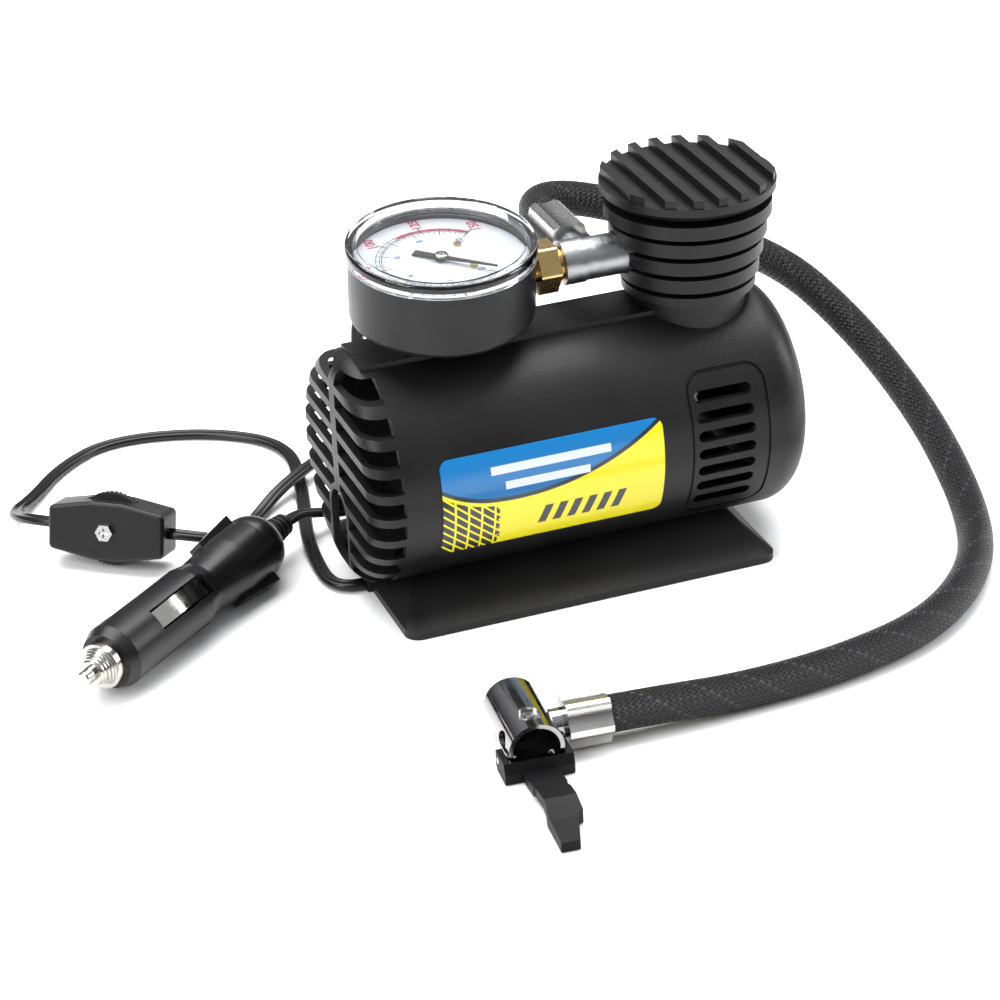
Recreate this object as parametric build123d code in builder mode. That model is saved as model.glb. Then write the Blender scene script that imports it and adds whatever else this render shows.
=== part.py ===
from build123d import *
from math import acos, cos, pi, radians, sin, tan
import os

# Portable 12 V tire inflator, in millimetres. +X runs along the motor barrel towards the pump tower,
# +Y is the back, +Z is up. The origin is on the ground under the middle of the barrel.
os.makedirs("parts", exist_ok=True)

# ---------------------------------------------------------------- driving dimensions
BARREL_R = 38.0
BARREL_Z = 43.8
BARREL_HALF = 74.9
WALL = 2.4
SEAM_HALF = 0.08

FOOT_X = -3.3
FOOT_LENGTH = 127.0
FOOT_HALF_Y = 40.6
FOOT_EDGE = 2.6
FOOT_TOP = 13.0
FOOT_TOP_HALF_Y = 20.0
FOOT_TOP_SHORTER = 22.0

TOWER_X = 46.7
NECK_R = 18.6
TOWER_TOP = 121.9
FIN_PITCH = 6.6
FIN_TALL = 4.4
FIN_RADII = [26.9, 25.4, 24.1, 22.8, 21.6]
DISC_R = 28.2
RIB_PITCH = 7.8
RIB_WIDE = 3.0
RIB_TALL = 2.8

LOUVRE_END_X = -64.6
LOUVRE_FIRST_Z = 74.5
LOUVRE_PITCH = 7.95
LOUVRE_TALL = 5.1
SPINE_HALF = 2.6
WINDOW_Z = 22.5
WINDOW_WIDE = 15.0
WINDOW_TALL = 27.0

VENT_X = 43.5
VENT_TOP_Z = 61.2
VENT_PITCH = 6.1
VENT_LONG = 19.7
VENT_TALL = 3.6

MOTOR_R = 18.0
MOTOR_Z = 34.8
MOTOR_X0 = -26.0
MOTOR_X1 = 32.0
SHAFT_R = 1.6

MODULE = 0.7
PINION_TEETH = 11
GEAR_TEETH = 44
GEAR_Z = MOTOR_Z + MODULE * (PINION_TEETH + GEAR_TEETH) / 2
GEAR_X0 = 38.0
GEAR_X1 = 43.0
AXLE_R = 2.5
CRANK_R = 5.0
CRANK_PIN_R = 1.8

BORE_R = 9.0
CYLINDER_X_R = 13.0
CYLINDER_Z0 = 71.5
CYLINDER_Z1 = 92.4
HEAD_R = 15.0
HEAD_Z1 = 108.0
PISTON_Z = 72.0

STEM_Z = 100.0
GAUGE_X = -36.8
GAUGE_TILT = 5.0
GAUGE_R = 30.0
GAUGE = Plane(
    origin=(GAUGE_X, 0, STEM_Z),
    x_dir=(1, 0, 0),
    z_dir=(0, -sin(radians(GAUGE_TILT)), cos(radians(GAUGE_TILT))),
)

HOSE_R = 5.75
PUMP_FERRULE_X = 9.6
PUMP_FERRULE_Y0 = 8.5
PUMP_FERRULE_Y1 = 29.5
PUMP_FERRULE_Z = 100.8

CORD_R = 1.8
GROMMET_X = -68.5
GROMMET_Y = -2.5
GROMMET_Z = 2.2


# ---------------------------------------------------------------- shared helpers
def gear_outline(teeth, module, addendum=0.9, backlash=0.12, first=0.0):
    """Involute tooth outline; `first` is the angle in degrees of one tooth's middle."""
    pitch_r = module * teeth / 2
    base_r = pitch_r * cos(radians(20))
    tip_r = pitch_r + addendum * module
    root_r = pitch_r - 1.2 * module

    def half_angle(r):
        slope = acos(min(1.0, base_r / max(r, base_r)))
        pitch_half = pi / (2 * teeth) - backlash / (2 * pitch_r)
        return pitch_half + (tan(radians(20)) - radians(20)) - (tan(slope) - slope)

    radii = [root_r, max(base_r, root_r + 0.05), pitch_r, (pitch_r + tip_r) / 2, tip_r]
    points = []
    for tooth in range(teeth):
        middle = radians(first) + 2 * pi * tooth / teeth
        for r in radii:
            points.append((r * cos(middle - half_angle(r)), r * sin(middle - half_angle(r))))
        for r in reversed(radii):
            points.append((r * cos(middle + half_angle(r)), r * sin(middle + half_angle(r))))
    return points


def corner_radii(route, name):
    """Largest tangent arc that each corner's two runs allow, printed for a check."""
    points = [Vector(*p) for p in route]
    radii = []
    for before, at, after in zip(points, points[1:], points[2:]):
        run_in = at - before
        run_out = after - at
        turn = radians(run_in.get_angle(run_out))
        radii.append(0.45 * min(run_in.length, run_out.length) / tan(turn / 2))
    print(name, "radii", [round(r, 1) for r in radii])
    return radii


def route_tube(route, radius, name):
    """A round tube along straight runs joined by tangent arcs."""
    with BuildPart() as tube:
        with BuildLine() as path:
            FilletPolyline(*route, radius=corner_radii(route, name))
        start = Plane(origin=path.line @ 0, z_dir=path.line % 0)
        with BuildSketch(start):
            Circle(radius)
        sweep()
    length = path.wire().length
    ratio = tube.part.volume / (pi * radius**2 * length)
    print(name, "length", round(length, 1), "volume ratio", round(ratio, 3))
    return tube.part


# ---------------------------------------------------------------- clamshell body
BOSS_SPOTS = [(-46.0, 63.0), (-46.0, 21.0), (5.0, 66.0), (62.0, 62.0), (62.0, 24.0)]
BOSS_R = 3.6
SCREW_SHANK_R = 1.45
SCREW_HEAD_R = 2.7
RIDGE_HALF = 9.5
RIDGE_Z = 82.2

# Everything that the two halves share before the seam cut.
with BuildPart() as body:
    # tented foot, hollow underneath
    with BuildSketch(Plane.XY):
        with Locations((FOOT_X, 0)):
            RectangleRounded(FOOT_LENGTH, 2 * FOOT_HALF_Y, 5)
    extrude(amount=FOOT_EDGE)
    with BuildSketch(Plane.XY.offset(FOOT_EDGE)):
        with Locations((FOOT_X, 0)):
            RectangleRounded(FOOT_LENGTH, 2 * FOOT_HALF_Y, 5)
    with BuildSketch(Plane.XY.offset(FOOT_TOP)):
        with Locations((FOOT_X, 0)):
            RectangleRounded(FOOT_LENGTH - FOOT_TOP_SHORTER, 2 * FOOT_TOP_HALF_Y, 5)
    loft()
    with BuildSketch(Plane.XY.offset(-0.1)):
        with Locations((FOOT_X, 0)):
            RectangleRounded(FOOT_LENGTH - 2 * WALL, 2 * (FOOT_HALF_Y - WALL), 3)
    with BuildSketch(Plane.XY.offset(FOOT_TOP - WALL)):
        with Locations((FOOT_X, 0)):
            RectangleRounded(FOOT_LENGTH - FOOT_TOP_SHORTER - WALL, 2 * (FOOT_TOP_HALF_Y - WALL), 3)
    loft(mode=Mode.SUBTRACT)

    # motor barrel with rounded ends, and the flat ridge along its top
    with BuildSketch(Plane.XZ) as barrel_profile:
        with Locations((0, BARREL_Z + BARREL_R / 2)):
            Rectangle(2 * BARREL_HALF, BARREL_R)
        fillet(barrel_profile.vertices().group_by(Axis.Y)[-1].sort_by(Axis.X)[0], 8.0)
        fillet(barrel_profile.vertices().group_by(Axis.Y)[-1].sort_by(Axis.X)[-1], 11.0)
    revolve(axis=Axis((0, 0, BARREL_Z), (1, 0, 0)))
    with Locations(((TOWER_X - BARREL_HALF + 7) / 2, 0, RIDGE_Z - 3)):
        Box(TOWER_X + BARREL_HALF - 7, 2 * RIDGE_HALF, 6)

    # pump tower: neck, tapering ring fins, top disc and its ribs
    with Locations((TOWER_X, 0, BARREL_Z + 20)):
        Cylinder(NECK_R, TOWER_TOP - BARREL_Z - 22, align=(Align.CENTER, Align.CENTER, Align.MIN))
    for number, fin_r in enumerate(FIN_RADII):
        fin_top = TOWER_TOP - (number + 1) * FIN_PITCH
        fin_tall = FIN_TALL if number < len(FIN_RADII) - 1 else 2.9
        with Locations((TOWER_X, 0, fin_top)):
            Cylinder(fin_r, fin_tall, align=(Align.CENTER, Align.CENTER, Align.MAX))
    with Locations((TOWER_X, 0, TOWER_TOP)):
        Cylinder(DISC_R, 2.6, align=(Align.CENTER, Align.CENTER, Align.MAX))
    with Locations((TOWER_X, 0, TOWER_TOP - 2.6)):
        Cone(DISC_R - 2.2, DISC_R, 2.0, align=(Align.CENTER, Align.CENTER, Align.MAX))
    with BuildSketch(Plane.XY.offset(TOWER_TOP)):
        with Locations([(TOWER_X + k * RIB_PITCH, 0) for k in range(-3, 4)]):
            Rectangle(RIB_WIDE, 2 * DISC_R)
        with Locations((TOWER_X, 0)):
            Circle(DISC_R - 0.5, mode=Mode.INTERSECT)
    extrude(amount=RIB_TALL)

    # hollow barrel and tower
    with BuildSketch(Plane.XZ) as hollow_profile:
        with Locations((0, BARREL_Z + (BARREL_R - WALL) / 2)):
            Rectangle(2 * (BARREL_HALF - WALL), BARREL_R - WALL)
        fillet(hollow_profile.vertices().group_by(Axis.Y)[-1].sort_by(Axis.X)[0], 5.6)
        fillet(hollow_profile.vertices().group_by(Axis.Y)[-1].sort_by(Axis.X)[-1], 8.6)
    revolve(axis=Axis((0, 0, BARREL_Z), (1, 0, 0)), mode=Mode.SUBTRACT)
    with Locations((TOWER_X, 0, BARREL_Z + 20)):
        Cylinder(NECK_R - WALL, 53.6, align=(Align.CENTER, Align.CENTER, Align.MIN), mode=Mode.SUBTRACT)

    # bulkheads that hold the motor can and back up the gear frame
    for bulkhead_x in (-20.0, 6.0, 29.4):
        with BuildSketch(Plane.YZ.offset(bulkhead_x)):
            with Locations((0, BARREL_Z)):
                Circle(BARREL_R - WALL + 0.4)
            with Locations((0, MOTOR_Z)):
                Circle(MOTOR_R + 0.15, mode=Mode.SUBTRACT)
            with Locations((0, MOTOR_Z + MOTOR_R + 8)):
                SlotOverall(30, 9, mode=Mode.SUBTRACT)
        extrude(amount=2.0)

# Screw bosses, which end half way through the barrel's wall.
with BuildPart() as bosses:
    with BuildSketch(Plane.XZ.offset(-40)):
        with Locations(BOSS_SPOTS):
            Circle(BOSS_R)
    extrude(amount=80)
    with BuildSketch(Plane.YZ.offset(-BARREL_HALF)):
        with Locations((0, BARREL_Z)):
            Circle(BARREL_R - WALL / 2)
    extrude(amount=2 * BARREL_HALF, mode=Mode.INTERSECT)

# Louvres that wrap round the motor end, one cutter for both halves.
with BuildPart() as louvre_cutter:
    for number in range(9):
        slot_z = LOUVRE_FIRST_Z - number * LOUVRE_PITCH
        for side in (-1, 1):
            with Locations((LOUVRE_END_X, side * SPINE_HALF, slot_z)):
                side_align = Align.MIN if side > 0 else Align.MAX
                Box(16, 44, LOUVRE_TALL, align=(Align.MAX, side_align, Align.MIN))
    with BuildSketch(Plane.YZ.offset(-90)):
        with Locations((0, WINDOW_Z)):
            SlotOverall(WINDOW_TALL + 4, WINDOW_WIDE + 4, rotation=90)
    extrude(amount=18.5, mode=Mode.SUBTRACT)
    with BuildSketch(Plane.YZ.offset(-90)):
        with Locations((0, WINDOW_Z)):
            SlotOverall(WINDOW_TALL, WINDOW_WIDE, rotation=90)
    extrude(amount=19.5)

# Pump-end vents: seven slots inside a shallow rounded groove, on both sides.
with BuildPart() as vent_cutter:
    with BuildSketch(Plane.XZ.offset(-45)):
        with Locations([(VENT_X, VENT_TOP_Z - k * VENT_PITCH) for k in range(7)]):
            SlotOverall(VENT_LONG, VENT_TALL)
    extrude(amount=90)
with BuildPart() as vent_groove:
    with BuildSketch(Plane.XZ.offset(-45)):
        with Locations((VENT_X + 1.4, 42.9)):
            RectangleRounded(27.4, 51.0, 6)
            RectangleRounded(25.6, 49.2, 5.2, mode=Mode.SUBTRACT)
    extrude(amount=90)
    with BuildSketch(Plane.YZ.offset(-10)):
        with Locations((0, BARREL_Z)):
            Circle(BARREL_R - 0.6)
    extrude(amount=100, mode=Mode.SUBTRACT)

with BuildPart() as cut_body:
    add(body.part)
    add(bosses.part)
    add(louvre_cutter.part, mode=Mode.SUBTRACT)
    add(vent_cutter.part, mode=Mode.SUBTRACT)
    add(vent_groove.part, mode=Mode.SUBTRACT)
    # the pump outlet leaves through the tower's seam
    with BuildSketch(Plane.YZ.offset(TOWER_X - 30)):
        with Locations((0, STEM_Z)):
            Circle(7.05)
    extrude(amount=18, mode=Mode.SUBTRACT)
    # cord notch in the foot's end, at the seam
    with Locations((GROMMET_X, GROMMET_Y, -1)):
        Box(12, 6.2, 5.7, align=(Align.MIN, Align.CENTER, Align.MIN), mode=Mode.SUBTRACT)
    # cord hole from the barrel down into the foot
    with Locations((-54, 0, 0)):
        Cylinder(3.2, 12, align=(Align.CENTER, Align.CENTER, Align.MIN), mode=Mode.SUBTRACT)

HALF_REACH = 60.0
with BuildPart() as front_shell:
    add(cut_body.part)
    with Locations((0, -SEAM_HALF, 0)):
        Box(200, HALF_REACH, 300, align=(Align.CENTER, Align.MIN, Align.CENTER), mode=Mode.SUBTRACT)
    with BuildSketch(Plane.XZ.offset(-1)):
        with Locations(BOSS_SPOTS):
            Circle(SCREW_SHANK_R + 0.05)
    extrude(amount=14, mode=Mode.SUBTRACT)
front_shell.part.label = "front_shell"
export_step(front_shell.part, "parts/front_shell.step")

with BuildPart() as back_shell:
    add(cut_body.part)
    with Locations((0, SEAM_HALF, 0)):
        Box(200, HALF_REACH, 300, align=(Align.CENTER, Align.MAX, Align.CENTER), mode=Mode.SUBTRACT)
    with BuildSketch(Plane.XZ.offset(1)):
        with Locations(BOSS_SPOTS):
            Circle(SCREW_SHANK_R + 0.25)
    extrude(amount=-50, mode=Mode.SUBTRACT)
    with BuildSketch(Plane.XZ.offset(-20)):
        with Locations(BOSS_SPOTS):
            Circle(SCREW_HEAD_R + 0.3)
    extrude(amount=-30, mode=Mode.SUBTRACT)
back_shell.part.label = "back_shell"
export_step(back_shell.part, "parts/back_shell.step")

with BuildPart() as shell_screws:
    with BuildSketch(Plane.XZ.offset(10)):
        with Locations(BOSS_SPOTS):
            Circle(SCREW_SHANK_R)
    extrude(amount=-30)
    with BuildSketch(Plane.XZ.offset(-20)):
        with Locations(BOSS_SPOTS):
            Circle(SCREW_HEAD_R)
    extrude(amount=-2.2)
    with BuildSketch(Plane.XZ.offset(-21.2)):
        with Locations(BOSS_SPOTS):
            Rectangle(3.4, 0.8)
            Rectangle(0.8, 3.4)
    extrude(amount=-2, mode=Mode.SUBTRACT)
shell_screws.part.label = "shell_screws"
export_step(shell_screws.part, "parts/shell_screws.step")

LABEL_X0 = -52.8
LABEL_X1 = 21.6
with BuildPart() as rating_label:
    with BuildSketch(Plane.XZ.offset(20)):
        with Locations(((LABEL_X0 + LABEL_X1) / 2, (58.3 + 24.9) / 2)):
            RectangleRounded(LABEL_X1 - LABEL_X0, 58.3 - 24.9, 3)
    extrude(amount=25)
    with BuildSketch(Plane.YZ.offset(-60)):
        with Locations((0, BARREL_Z)):
            Circle(BARREL_R + 0.3)
            Circle(BARREL_R + 0.05, mode=Mode.SUBTRACT)
    extrude(amount=100, mode=Mode.INTERSECT)
rating_label.part.label = "rating_label"
export_step(rating_label.part, "parts/rating_label.step")

with BuildPart() as cord_grommet:
    with Locations((GROMMET_X, GROMMET_Y, 0.3)):
        Box(8, 6.0, 4.2, align=(Align.MIN, Align.CENTER, Align.MIN))
    fillet(cord_grommet.edges().filter_by(Axis.X).group_by(Axis.Z)[-1], 1.6)
    with Locations((GROMMET_X + 4, GROMMET_Y, 2.2)):
        Box(1.6, 3.6, 3.0, mode=Mode.SUBTRACT)
cord_grommet.part.label = "cord_grommet"
export_step(cord_grommet.part, "parts/cord_grommet.step")


# ---------------------------------------------------------------- motor
with BuildPart() as motor_can:
    with BuildSketch(Plane.YZ.offset(MOTOR_X0)):
        with Locations((0, MOTOR_Z)):
            Circle(MOTOR_R)
    extrude(amount=MOTOR_X1 - MOTOR_X0)
    fillet(motor_can.edges().filter_by(GeomType.CIRCLE).sort_by(Axis.X)[-1], 2)
    with BuildSketch(Plane.YZ.offset(MOTOR_X0)):
        with Locations((0, MOTOR_Z)):
            Circle(MOTOR_R - 1.2)
    extrude(amount=MOTOR_X1 - MOTOR_X0 - 1.4, mode=Mode.SUBTRACT)
    # bearing boss round the shaft
    with BuildSketch(Plane.YZ.offset(MOTOR_X1 - 3)):
        with Locations((0, MOTOR_Z)):
            Circle(4.0)
    extrude(amount=5)
    with BuildSketch(Plane.YZ.offset(MOTOR_X1 - 5)):
        with Locations((0, MOTOR_Z)):
            Circle(SHAFT_R + 0.05)
    extrude(amount=8, mode=Mode.SUBTRACT)
motor_can.part.label = "motor_can"
export_step(motor_can.part, "parts/motor_can.step")

with BuildPart() as motor_magnets:
    with BuildSketch(Plane.YZ.offset(-18)):
        with Locations((0, MOTOR_Z)):
            Circle(MOTOR_R - 1.25)
            Circle(13.6, mode=Mode.SUBTRACT)
            Rectangle(14, 40, mode=Mode.SUBTRACT)
    extrude(amount=36)
motor_magnets.part.label = "motor_magnets"
export_step(motor_magnets.part, "parts/motor_magnets.step")

with BuildPart() as motor_end_cap:
    with BuildSketch(Plane.YZ.offset(MOTOR_X0 - 3)):
        with Locations((0, MOTOR_Z)):
            Circle(MOTOR_R - 0.2)
    extrude(amount=2.95)
    with BuildSketch(Plane.YZ.offset(MOTOR_X0 - 5)):
        with Locations((0, MOTOR_Z)):
            Circle(5)
    extrude(amount=2.1)
    with BuildSketch(Plane.YZ.offset(MOTOR_X0 - 7)):
        with Locations((-11, MOTOR_Z), (11, MOTOR_Z)):
            Rectangle(0.8, 5)
    extrude(amount=4.1)
    with BuildSketch(Plane.YZ.offset(MOTOR_X0 - 8)):
        with Locations((0, MOTOR_Z)):
            Circle(SHAFT_R + 0.05)
    extrude(amount=10, mode=Mode.SUBTRACT)
    with BuildSketch(Plane.YZ.offset(MOTOR_X0 - 8)):
        with Locations((0, MOTOR_Z + 11), (0, MOTOR_Z - 11)):
            SlotOverall(12, 4)
    extrude(amount=10, mode=Mode.SUBTRACT)
motor_end_cap.part.label = "motor_end_cap"
export_step(motor_end_cap.part, "parts/motor_end_cap.step")

with BuildPart() as motor_brushes:
    for side in (-1, 1):
        with Locations((MOTOR_X0 + 6.5, side * 7.2, MOTOR_Z)):
            Box(5, 5.6, 3.4)
motor_brushes.part.label = "motor_brushes"
export_step(motor_brushes.part, "parts/motor_brushes.step")

with BuildPart() as motor_shaft:
    with BuildSketch(Plane.YZ.offset(MOTOR_X0 - 4.5)):
        with Locations((0, MOTOR_Z)):
            Circle(SHAFT_R)
    extrude(amount=GEAR_X1 + 0.5 - MOTOR_X0 + 4.5)
motor_shaft.part.label = "motor_shaft"
export_step(motor_shaft.part, "parts/motor_shaft.step")

SLOT_COUNT = 5
with BuildPart() as motor_armature:
    with BuildSketch(Plane.YZ.offset(-14)):
        with Locations((0, MOTOR_Z)):
            Circle(13.0)
            with PolarLocations(11.2, SLOT_COUNT):
                Circle(3.0, mode=Mode.SUBTRACT)
            with PolarLocations(12.6, SLOT_COUNT):
                Rectangle(3, 1.6, mode=Mode.SUBTRACT)
            Circle(SHAFT_R, mode=Mode.SUBTRACT)
    extrude(amount=30)
    with BuildSketch(Plane.YZ.offset(MOTOR_X0 + 3.2)):
        with Locations((0, MOTOR_Z)):
            Circle(4.2)
            Circle(SHAFT_R, mode=Mode.SUBTRACT)
    extrude(amount=8.8)
motor_armature.part.label = "motor_armature"
export_step(motor_armature.part, "parts/motor_armature.step")

# ---------------------------------------------------------------- reduction gear and crank
PINION_PLANE = Plane(origin=(GEAR_X0, 0, MOTOR_Z), x_dir=(0, 1, 0), z_dir=(1, 0, 0))
GEAR_PLANE = Plane(origin=(GEAR_X0, 0, GEAR_Z), x_dir=(0, 1, 0), z_dir=(1, 0, 0))
with BuildPart() as pinion:
    with BuildSketch(PINION_PLANE):
        with BuildLine():
            Polyline(*gear_outline(PINION_TEETH, MODULE, first=90.0), close=True)
        make_face()
        Circle(SHAFT_R, mode=Mode.SUBTRACT)
    extrude(amount=GEAR_X1 - GEAR_X0)
pinion.part.label = "motor_pinion"
export_step(pinion.part, "parts/motor_pinion.step")

with BuildPart() as drive_gear:
    with BuildSketch(GEAR_PLANE):
        with BuildLine():
            Polyline(*gear_outline(GEAR_TEETH, MODULE, first=-90.0 + 180.0 / GEAR_TEETH), close=True)
        make_face()
        Circle(4.0, mode=Mode.SUBTRACT)
    extrude(amount=GEAR_X1 - GEAR_X0)
    with BuildSketch(GEAR_PLANE):
        Circle(12.5)
        Circle(6.0, mode=Mode.SUBTRACT)
    extrude(amount=1.5, mode=Mode.SUBTRACT)
    with BuildSketch(GEAR_PLANE):
        with PolarLocations(9.3, 5, start_angle=54):
            Circle(2.2)
    extrude(amount=GEAR_X1 - GEAR_X0, mode=Mode.SUBTRACT)
drive_gear.part.label = "drive_gear"
export_step(drive_gear.part, "parts/drive_gear.step")

with BuildPart() as gear_bush:
    with BuildSketch(Plane.YZ.offset(GEAR_X0)):
        with Locations((0, GEAR_Z)):
            Circle(4.0)
            Circle(AXLE_R + 0.05, mode=Mode.SUBTRACT)
    extrude(amount=GEAR_X1 - GEAR_X0)
gear_bush.part.label = "gear_bush"
export_step(gear_bush.part, "parts/gear_bush.step")

with BuildPart() as gear_axle:
    with BuildSketch(Plane.YZ.offset(MOTOR_X1)):
        with Locations((0, GEAR_Z)):
            Circle(AXLE_R)
    extrude(amount=GEAR_X1 + 0.2 - MOTOR_X1)
gear_axle.part.label = "gear_axle"
export_step(gear_axle.part, "parts/gear_axle.step")

# The crank pin stops short of the rod: the one pivot where the slider-crank loop is opened.
ROD_X0 = TOWER_X - 1.3
ROD_X1 = TOWER_X + 1.3
with BuildPart() as crank_pin:
    with BuildSketch(Plane.YZ.offset(GEAR_X1)):
        with Locations((0, GEAR_Z - CRANK_R)):
            Circle(CRANK_PIN_R)
    extrude(amount=ROD_X0 - 0.4 - GEAR_X1)
crank_pin.part.label = "crank_pin"
export_step(crank_pin.part, "parts/crank_pin.step")

with BuildPart() as gear_frame:
    with BuildSketch(Plane.YZ.offset(MOTOR_X1)):
        with Locations((0, 45.5)):
            RectangleRounded(32, 56, 6)
        with Locations((0, MOTOR_Z)):
            Circle(4.05, mode=Mode.SUBTRACT)
        with Locations((0, GEAR_Z)):
            Circle(AXLE_R, mode=Mode.SUBTRACT)
        with Locations((0, MOTOR_Z)):
            with PolarLocations(8.0, 2):
                Circle(1.3, mode=Mode.SUBTRACT)
    extrude(amount=3)
    with BuildSketch(Plane.XY.offset(72)):
        with Locations((TOWER_X + 1, 0)):
            Rectangle(2 * (TOWER_X + 1 - MOTOR_X1 - 0.5), 28)
    extrude(amount=3.5)
    with Locations((TOWER_X, 0, 70)):
        Cylinder(CYLINDER_X_R + 0.1, 8, align=(Align.CENTER, Align.CENTER, Align.MIN), mode=Mode.SUBTRACT)
gear_frame.part.label = "gear_frame"
export_step(gear_frame.part, "parts/gear_frame.step")

with BuildPart() as motor_screws:
    with BuildSketch(Plane.YZ.offset(MOTOR_X1 + 3)):
        with Locations((0, MOTOR_Z)):
            with PolarLocations(8.0, 2):
                Circle(2.3)
    extrude(amount=1.6)
    with BuildSketch(Plane.YZ.offset(MOTOR_X1 + 3)):
        with Locations((0, MOTOR_Z)):
            with PolarLocations(8.0, 2):
                Circle(1.25)
    extrude(amount=-3)
motor_screws.part.label = "motor_screws"
export_step(motor_screws.part, "parts/motor_screws.step")

# ---------------------------------------------------------------- pump
with BuildPart() as cylinder:
    with Locations((TOWER_X, 0, CYLINDER_Z0)):
        Cylinder(CYLINDER_X_R, CYLINDER_Z1 - CYLINDER_Z0, align=(Align.CENTER, Align.CENTER, Align.MIN))
    for fin_z in (78, 81.5, 85):
        with Locations((TOWER_X, 0, fin_z)):
            Cylinder(HEAD_R, 1.4, align=(Align.CENTER, Align.CENTER, Align.MIN))
    with Locations((TOWER_X, 0, CYLINDER_Z1)):
        Cylinder(HEAD_R, 4, align=(Align.CENTER, Align.CENTER, Align.MAX))
    with Locations((TOWER_X, 0, CYLINDER_Z0 - 1)):
        Cylinder(BORE_R, 30, align=(Align.CENTER, Align.CENTER, Align.MIN), mode=Mode.SUBTRACT)
    with Locations((TOWER_X, 0, CYLINDER_Z1 - 6)):
        with PolarLocations(12.2, 4, start_angle=45):
            Cylinder(1.3, 7, align=(Align.CENTER, Align.CENTER, Align.MIN), mode=Mode.SUBTRACT)
cylinder.part.label = "pump_cylinder"
export_step(cylinder.part, "parts/pump_cylinder.step")

with BuildPart() as piston_rod:
    with Locations((TOWER_X, 0, PISTON_Z)):
        Cylinder(BORE_R - 0.08, 7, align=(Align.CENTER, Align.CENTER, Align.MIN))
    with Locations((TOWER_X, 0, PISTON_Z + 3)):
        Cylinder(BORE_R, 2.5, align=(Align.CENTER, Align.CENTER, Align.MIN), mode=Mode.SUBTRACT)
    with Locations((TOWER_X, 0, PISTON_Z + 2.9)):
        Cylinder(7.4, 2.7, align=(Align.CENTER, Align.CENTER, Align.MIN))
    with BuildSketch(Plane.YZ.offset(ROD_X0)):
        with Locations((0, (GEAR_Z - CRANK_R + PISTON_Z) / 2)):
            Rectangle(5.6, PISTON_Z - GEAR_Z + CRANK_R + 0.4)
        with Locations((0, GEAR_Z - CRANK_R)):
            Circle(4.4)
            Circle(CRANK_PIN_R + 0.1, mode=Mode.SUBTRACT)
    extrude(amount=ROD_X1 - ROD_X0)
piston_rod.part.label = "piston_rod"
export_step(piston_rod.part, "parts/piston_rod.step")

with BuildPart() as piston_seal:
    with Locations((TOWER_X, 0, PISTON_Z + 3.05)):
        Cylinder(BORE_R - 0.05, 2.4, align=(Align.CENTER, Align.CENTER, Align.MIN))
        Cylinder(7.42, 2.4, align=(Align.CENTER, Align.CENTER, Align.MIN), mode=Mode.SUBTRACT)
piston_seal.part.label = "piston_seal"
export_step(piston_seal.part, "parts/piston_seal.step")

with BuildPart() as cylinder_head:
    with Locations((TOWER_X, 0, CYLINDER_Z1)):
        Cylinder(HEAD_R, HEAD_Z1 - CYLINDER_Z1, align=(Align.CENTER, Align.CENTER, Align.MIN))
        Cylinder(9.2, 10.6, align=(Align.CENTER, Align.CENTER, Align.MIN), mode=Mode.SUBTRACT)
        with PolarLocations(12.2, 4, start_angle=45):
            Cylinder(1.3, 20, align=(Align.CENTER, Align.CENTER, Align.MIN), mode=Mode.SUBTRACT)
    with BuildSketch(Plane.YZ.offset(TOWER_X - 20)):
        with Locations((0, STEM_Z)):
            Circle(6.85)
    extrude(amount=7, mode=Mode.SUBTRACT)
    with BuildSketch(Plane.YZ.offset(TOWER_X - 15)):
        with Locations((0, STEM_Z)):
            Circle(3)
    extrude(amount=12, mode=Mode.SUBTRACT)
cylinder_head.part.label = "cylinder_head"
export_step(cylinder_head.part, "parts/cylinder_head.step")

with BuildPart() as valve_reed:
    with Locations((TOWER_X, 0, CYLINDER_Z1)):
        Cylinder(9.1, 0.5, align=(Align.CENTER, Align.CENTER, Align.MIN))
    with Locations((TOWER_X, 0, CYLINDER_Z1)):
        with PolarLocations(4.5, 3):
            Cylinder(1.2, 1, align=(Align.CENTER, Align.CENTER, Align.MIN), mode=Mode.SUBTRACT)
valve_reed.part.label = "valve_plate"
export_step(valve_reed.part, "parts/valve_plate.step")

with BuildPart() as head_screws:
    with Locations((TOWER_X, 0, HEAD_Z1)):
        with PolarLocations(12.2, 4, start_angle=45):
            Cylinder(1.25, 19, align=(Align.CENTER, Align.CENTER, Align.MAX))
            Cylinder(2.3, 2, align=(Align.CENTER, Align.CENTER, Align.MIN))
head_screws.part.label = "head_screws"
export_step(head_screws.part, "parts/head_screws.step")

# ---------------------------------------------------------------- outlet manifold and gauge stem
with BuildPart() as manifold:
    with BuildSketch(Plane.YZ.offset(2.6)):
        with Locations((0, STEM_Z)):
            Circle(7.2)
    extrude(amount=7.2)
    with BuildSketch(Plane.YZ.offset(9.0)):
        with Locations((0, STEM_Z)):
            Circle(6.8)
    extrude(amount=TOWER_X - 13.4 - 9.0)
    # side port that the hose screws on
    with BuildSketch(Plane.XZ):
        with Locations((PUMP_FERRULE_X, PUMP_FERRULE_Z)):
            Circle(5.6)
    extrude(amount=-PUMP_FERRULE_Y0)
    with BuildSketch(Plane.YZ.offset(2.0)):
        with Locations((0, STEM_Z)):
            Circle(5.4)
    extrude(amount=6.4, mode=Mode.SUBTRACT)
    with BuildSketch(Plane.YZ.offset(2.0)):
        with Locations((0, STEM_Z)):
            Circle(2.6)
    extrude(amount=40, mode=Mode.SUBTRACT)
    with BuildSketch(Plane.XZ.offset(-1)):
        with Locations((PUMP_FERRULE_X, PUMP_FERRULE_Z)):
            Circle(2.2)
    extrude(amount=-8, mode=Mode.SUBTRACT)
manifold.part.label = "outlet_manifold"
export_step(manifold.part, "parts/outlet_manifold.step")

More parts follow.
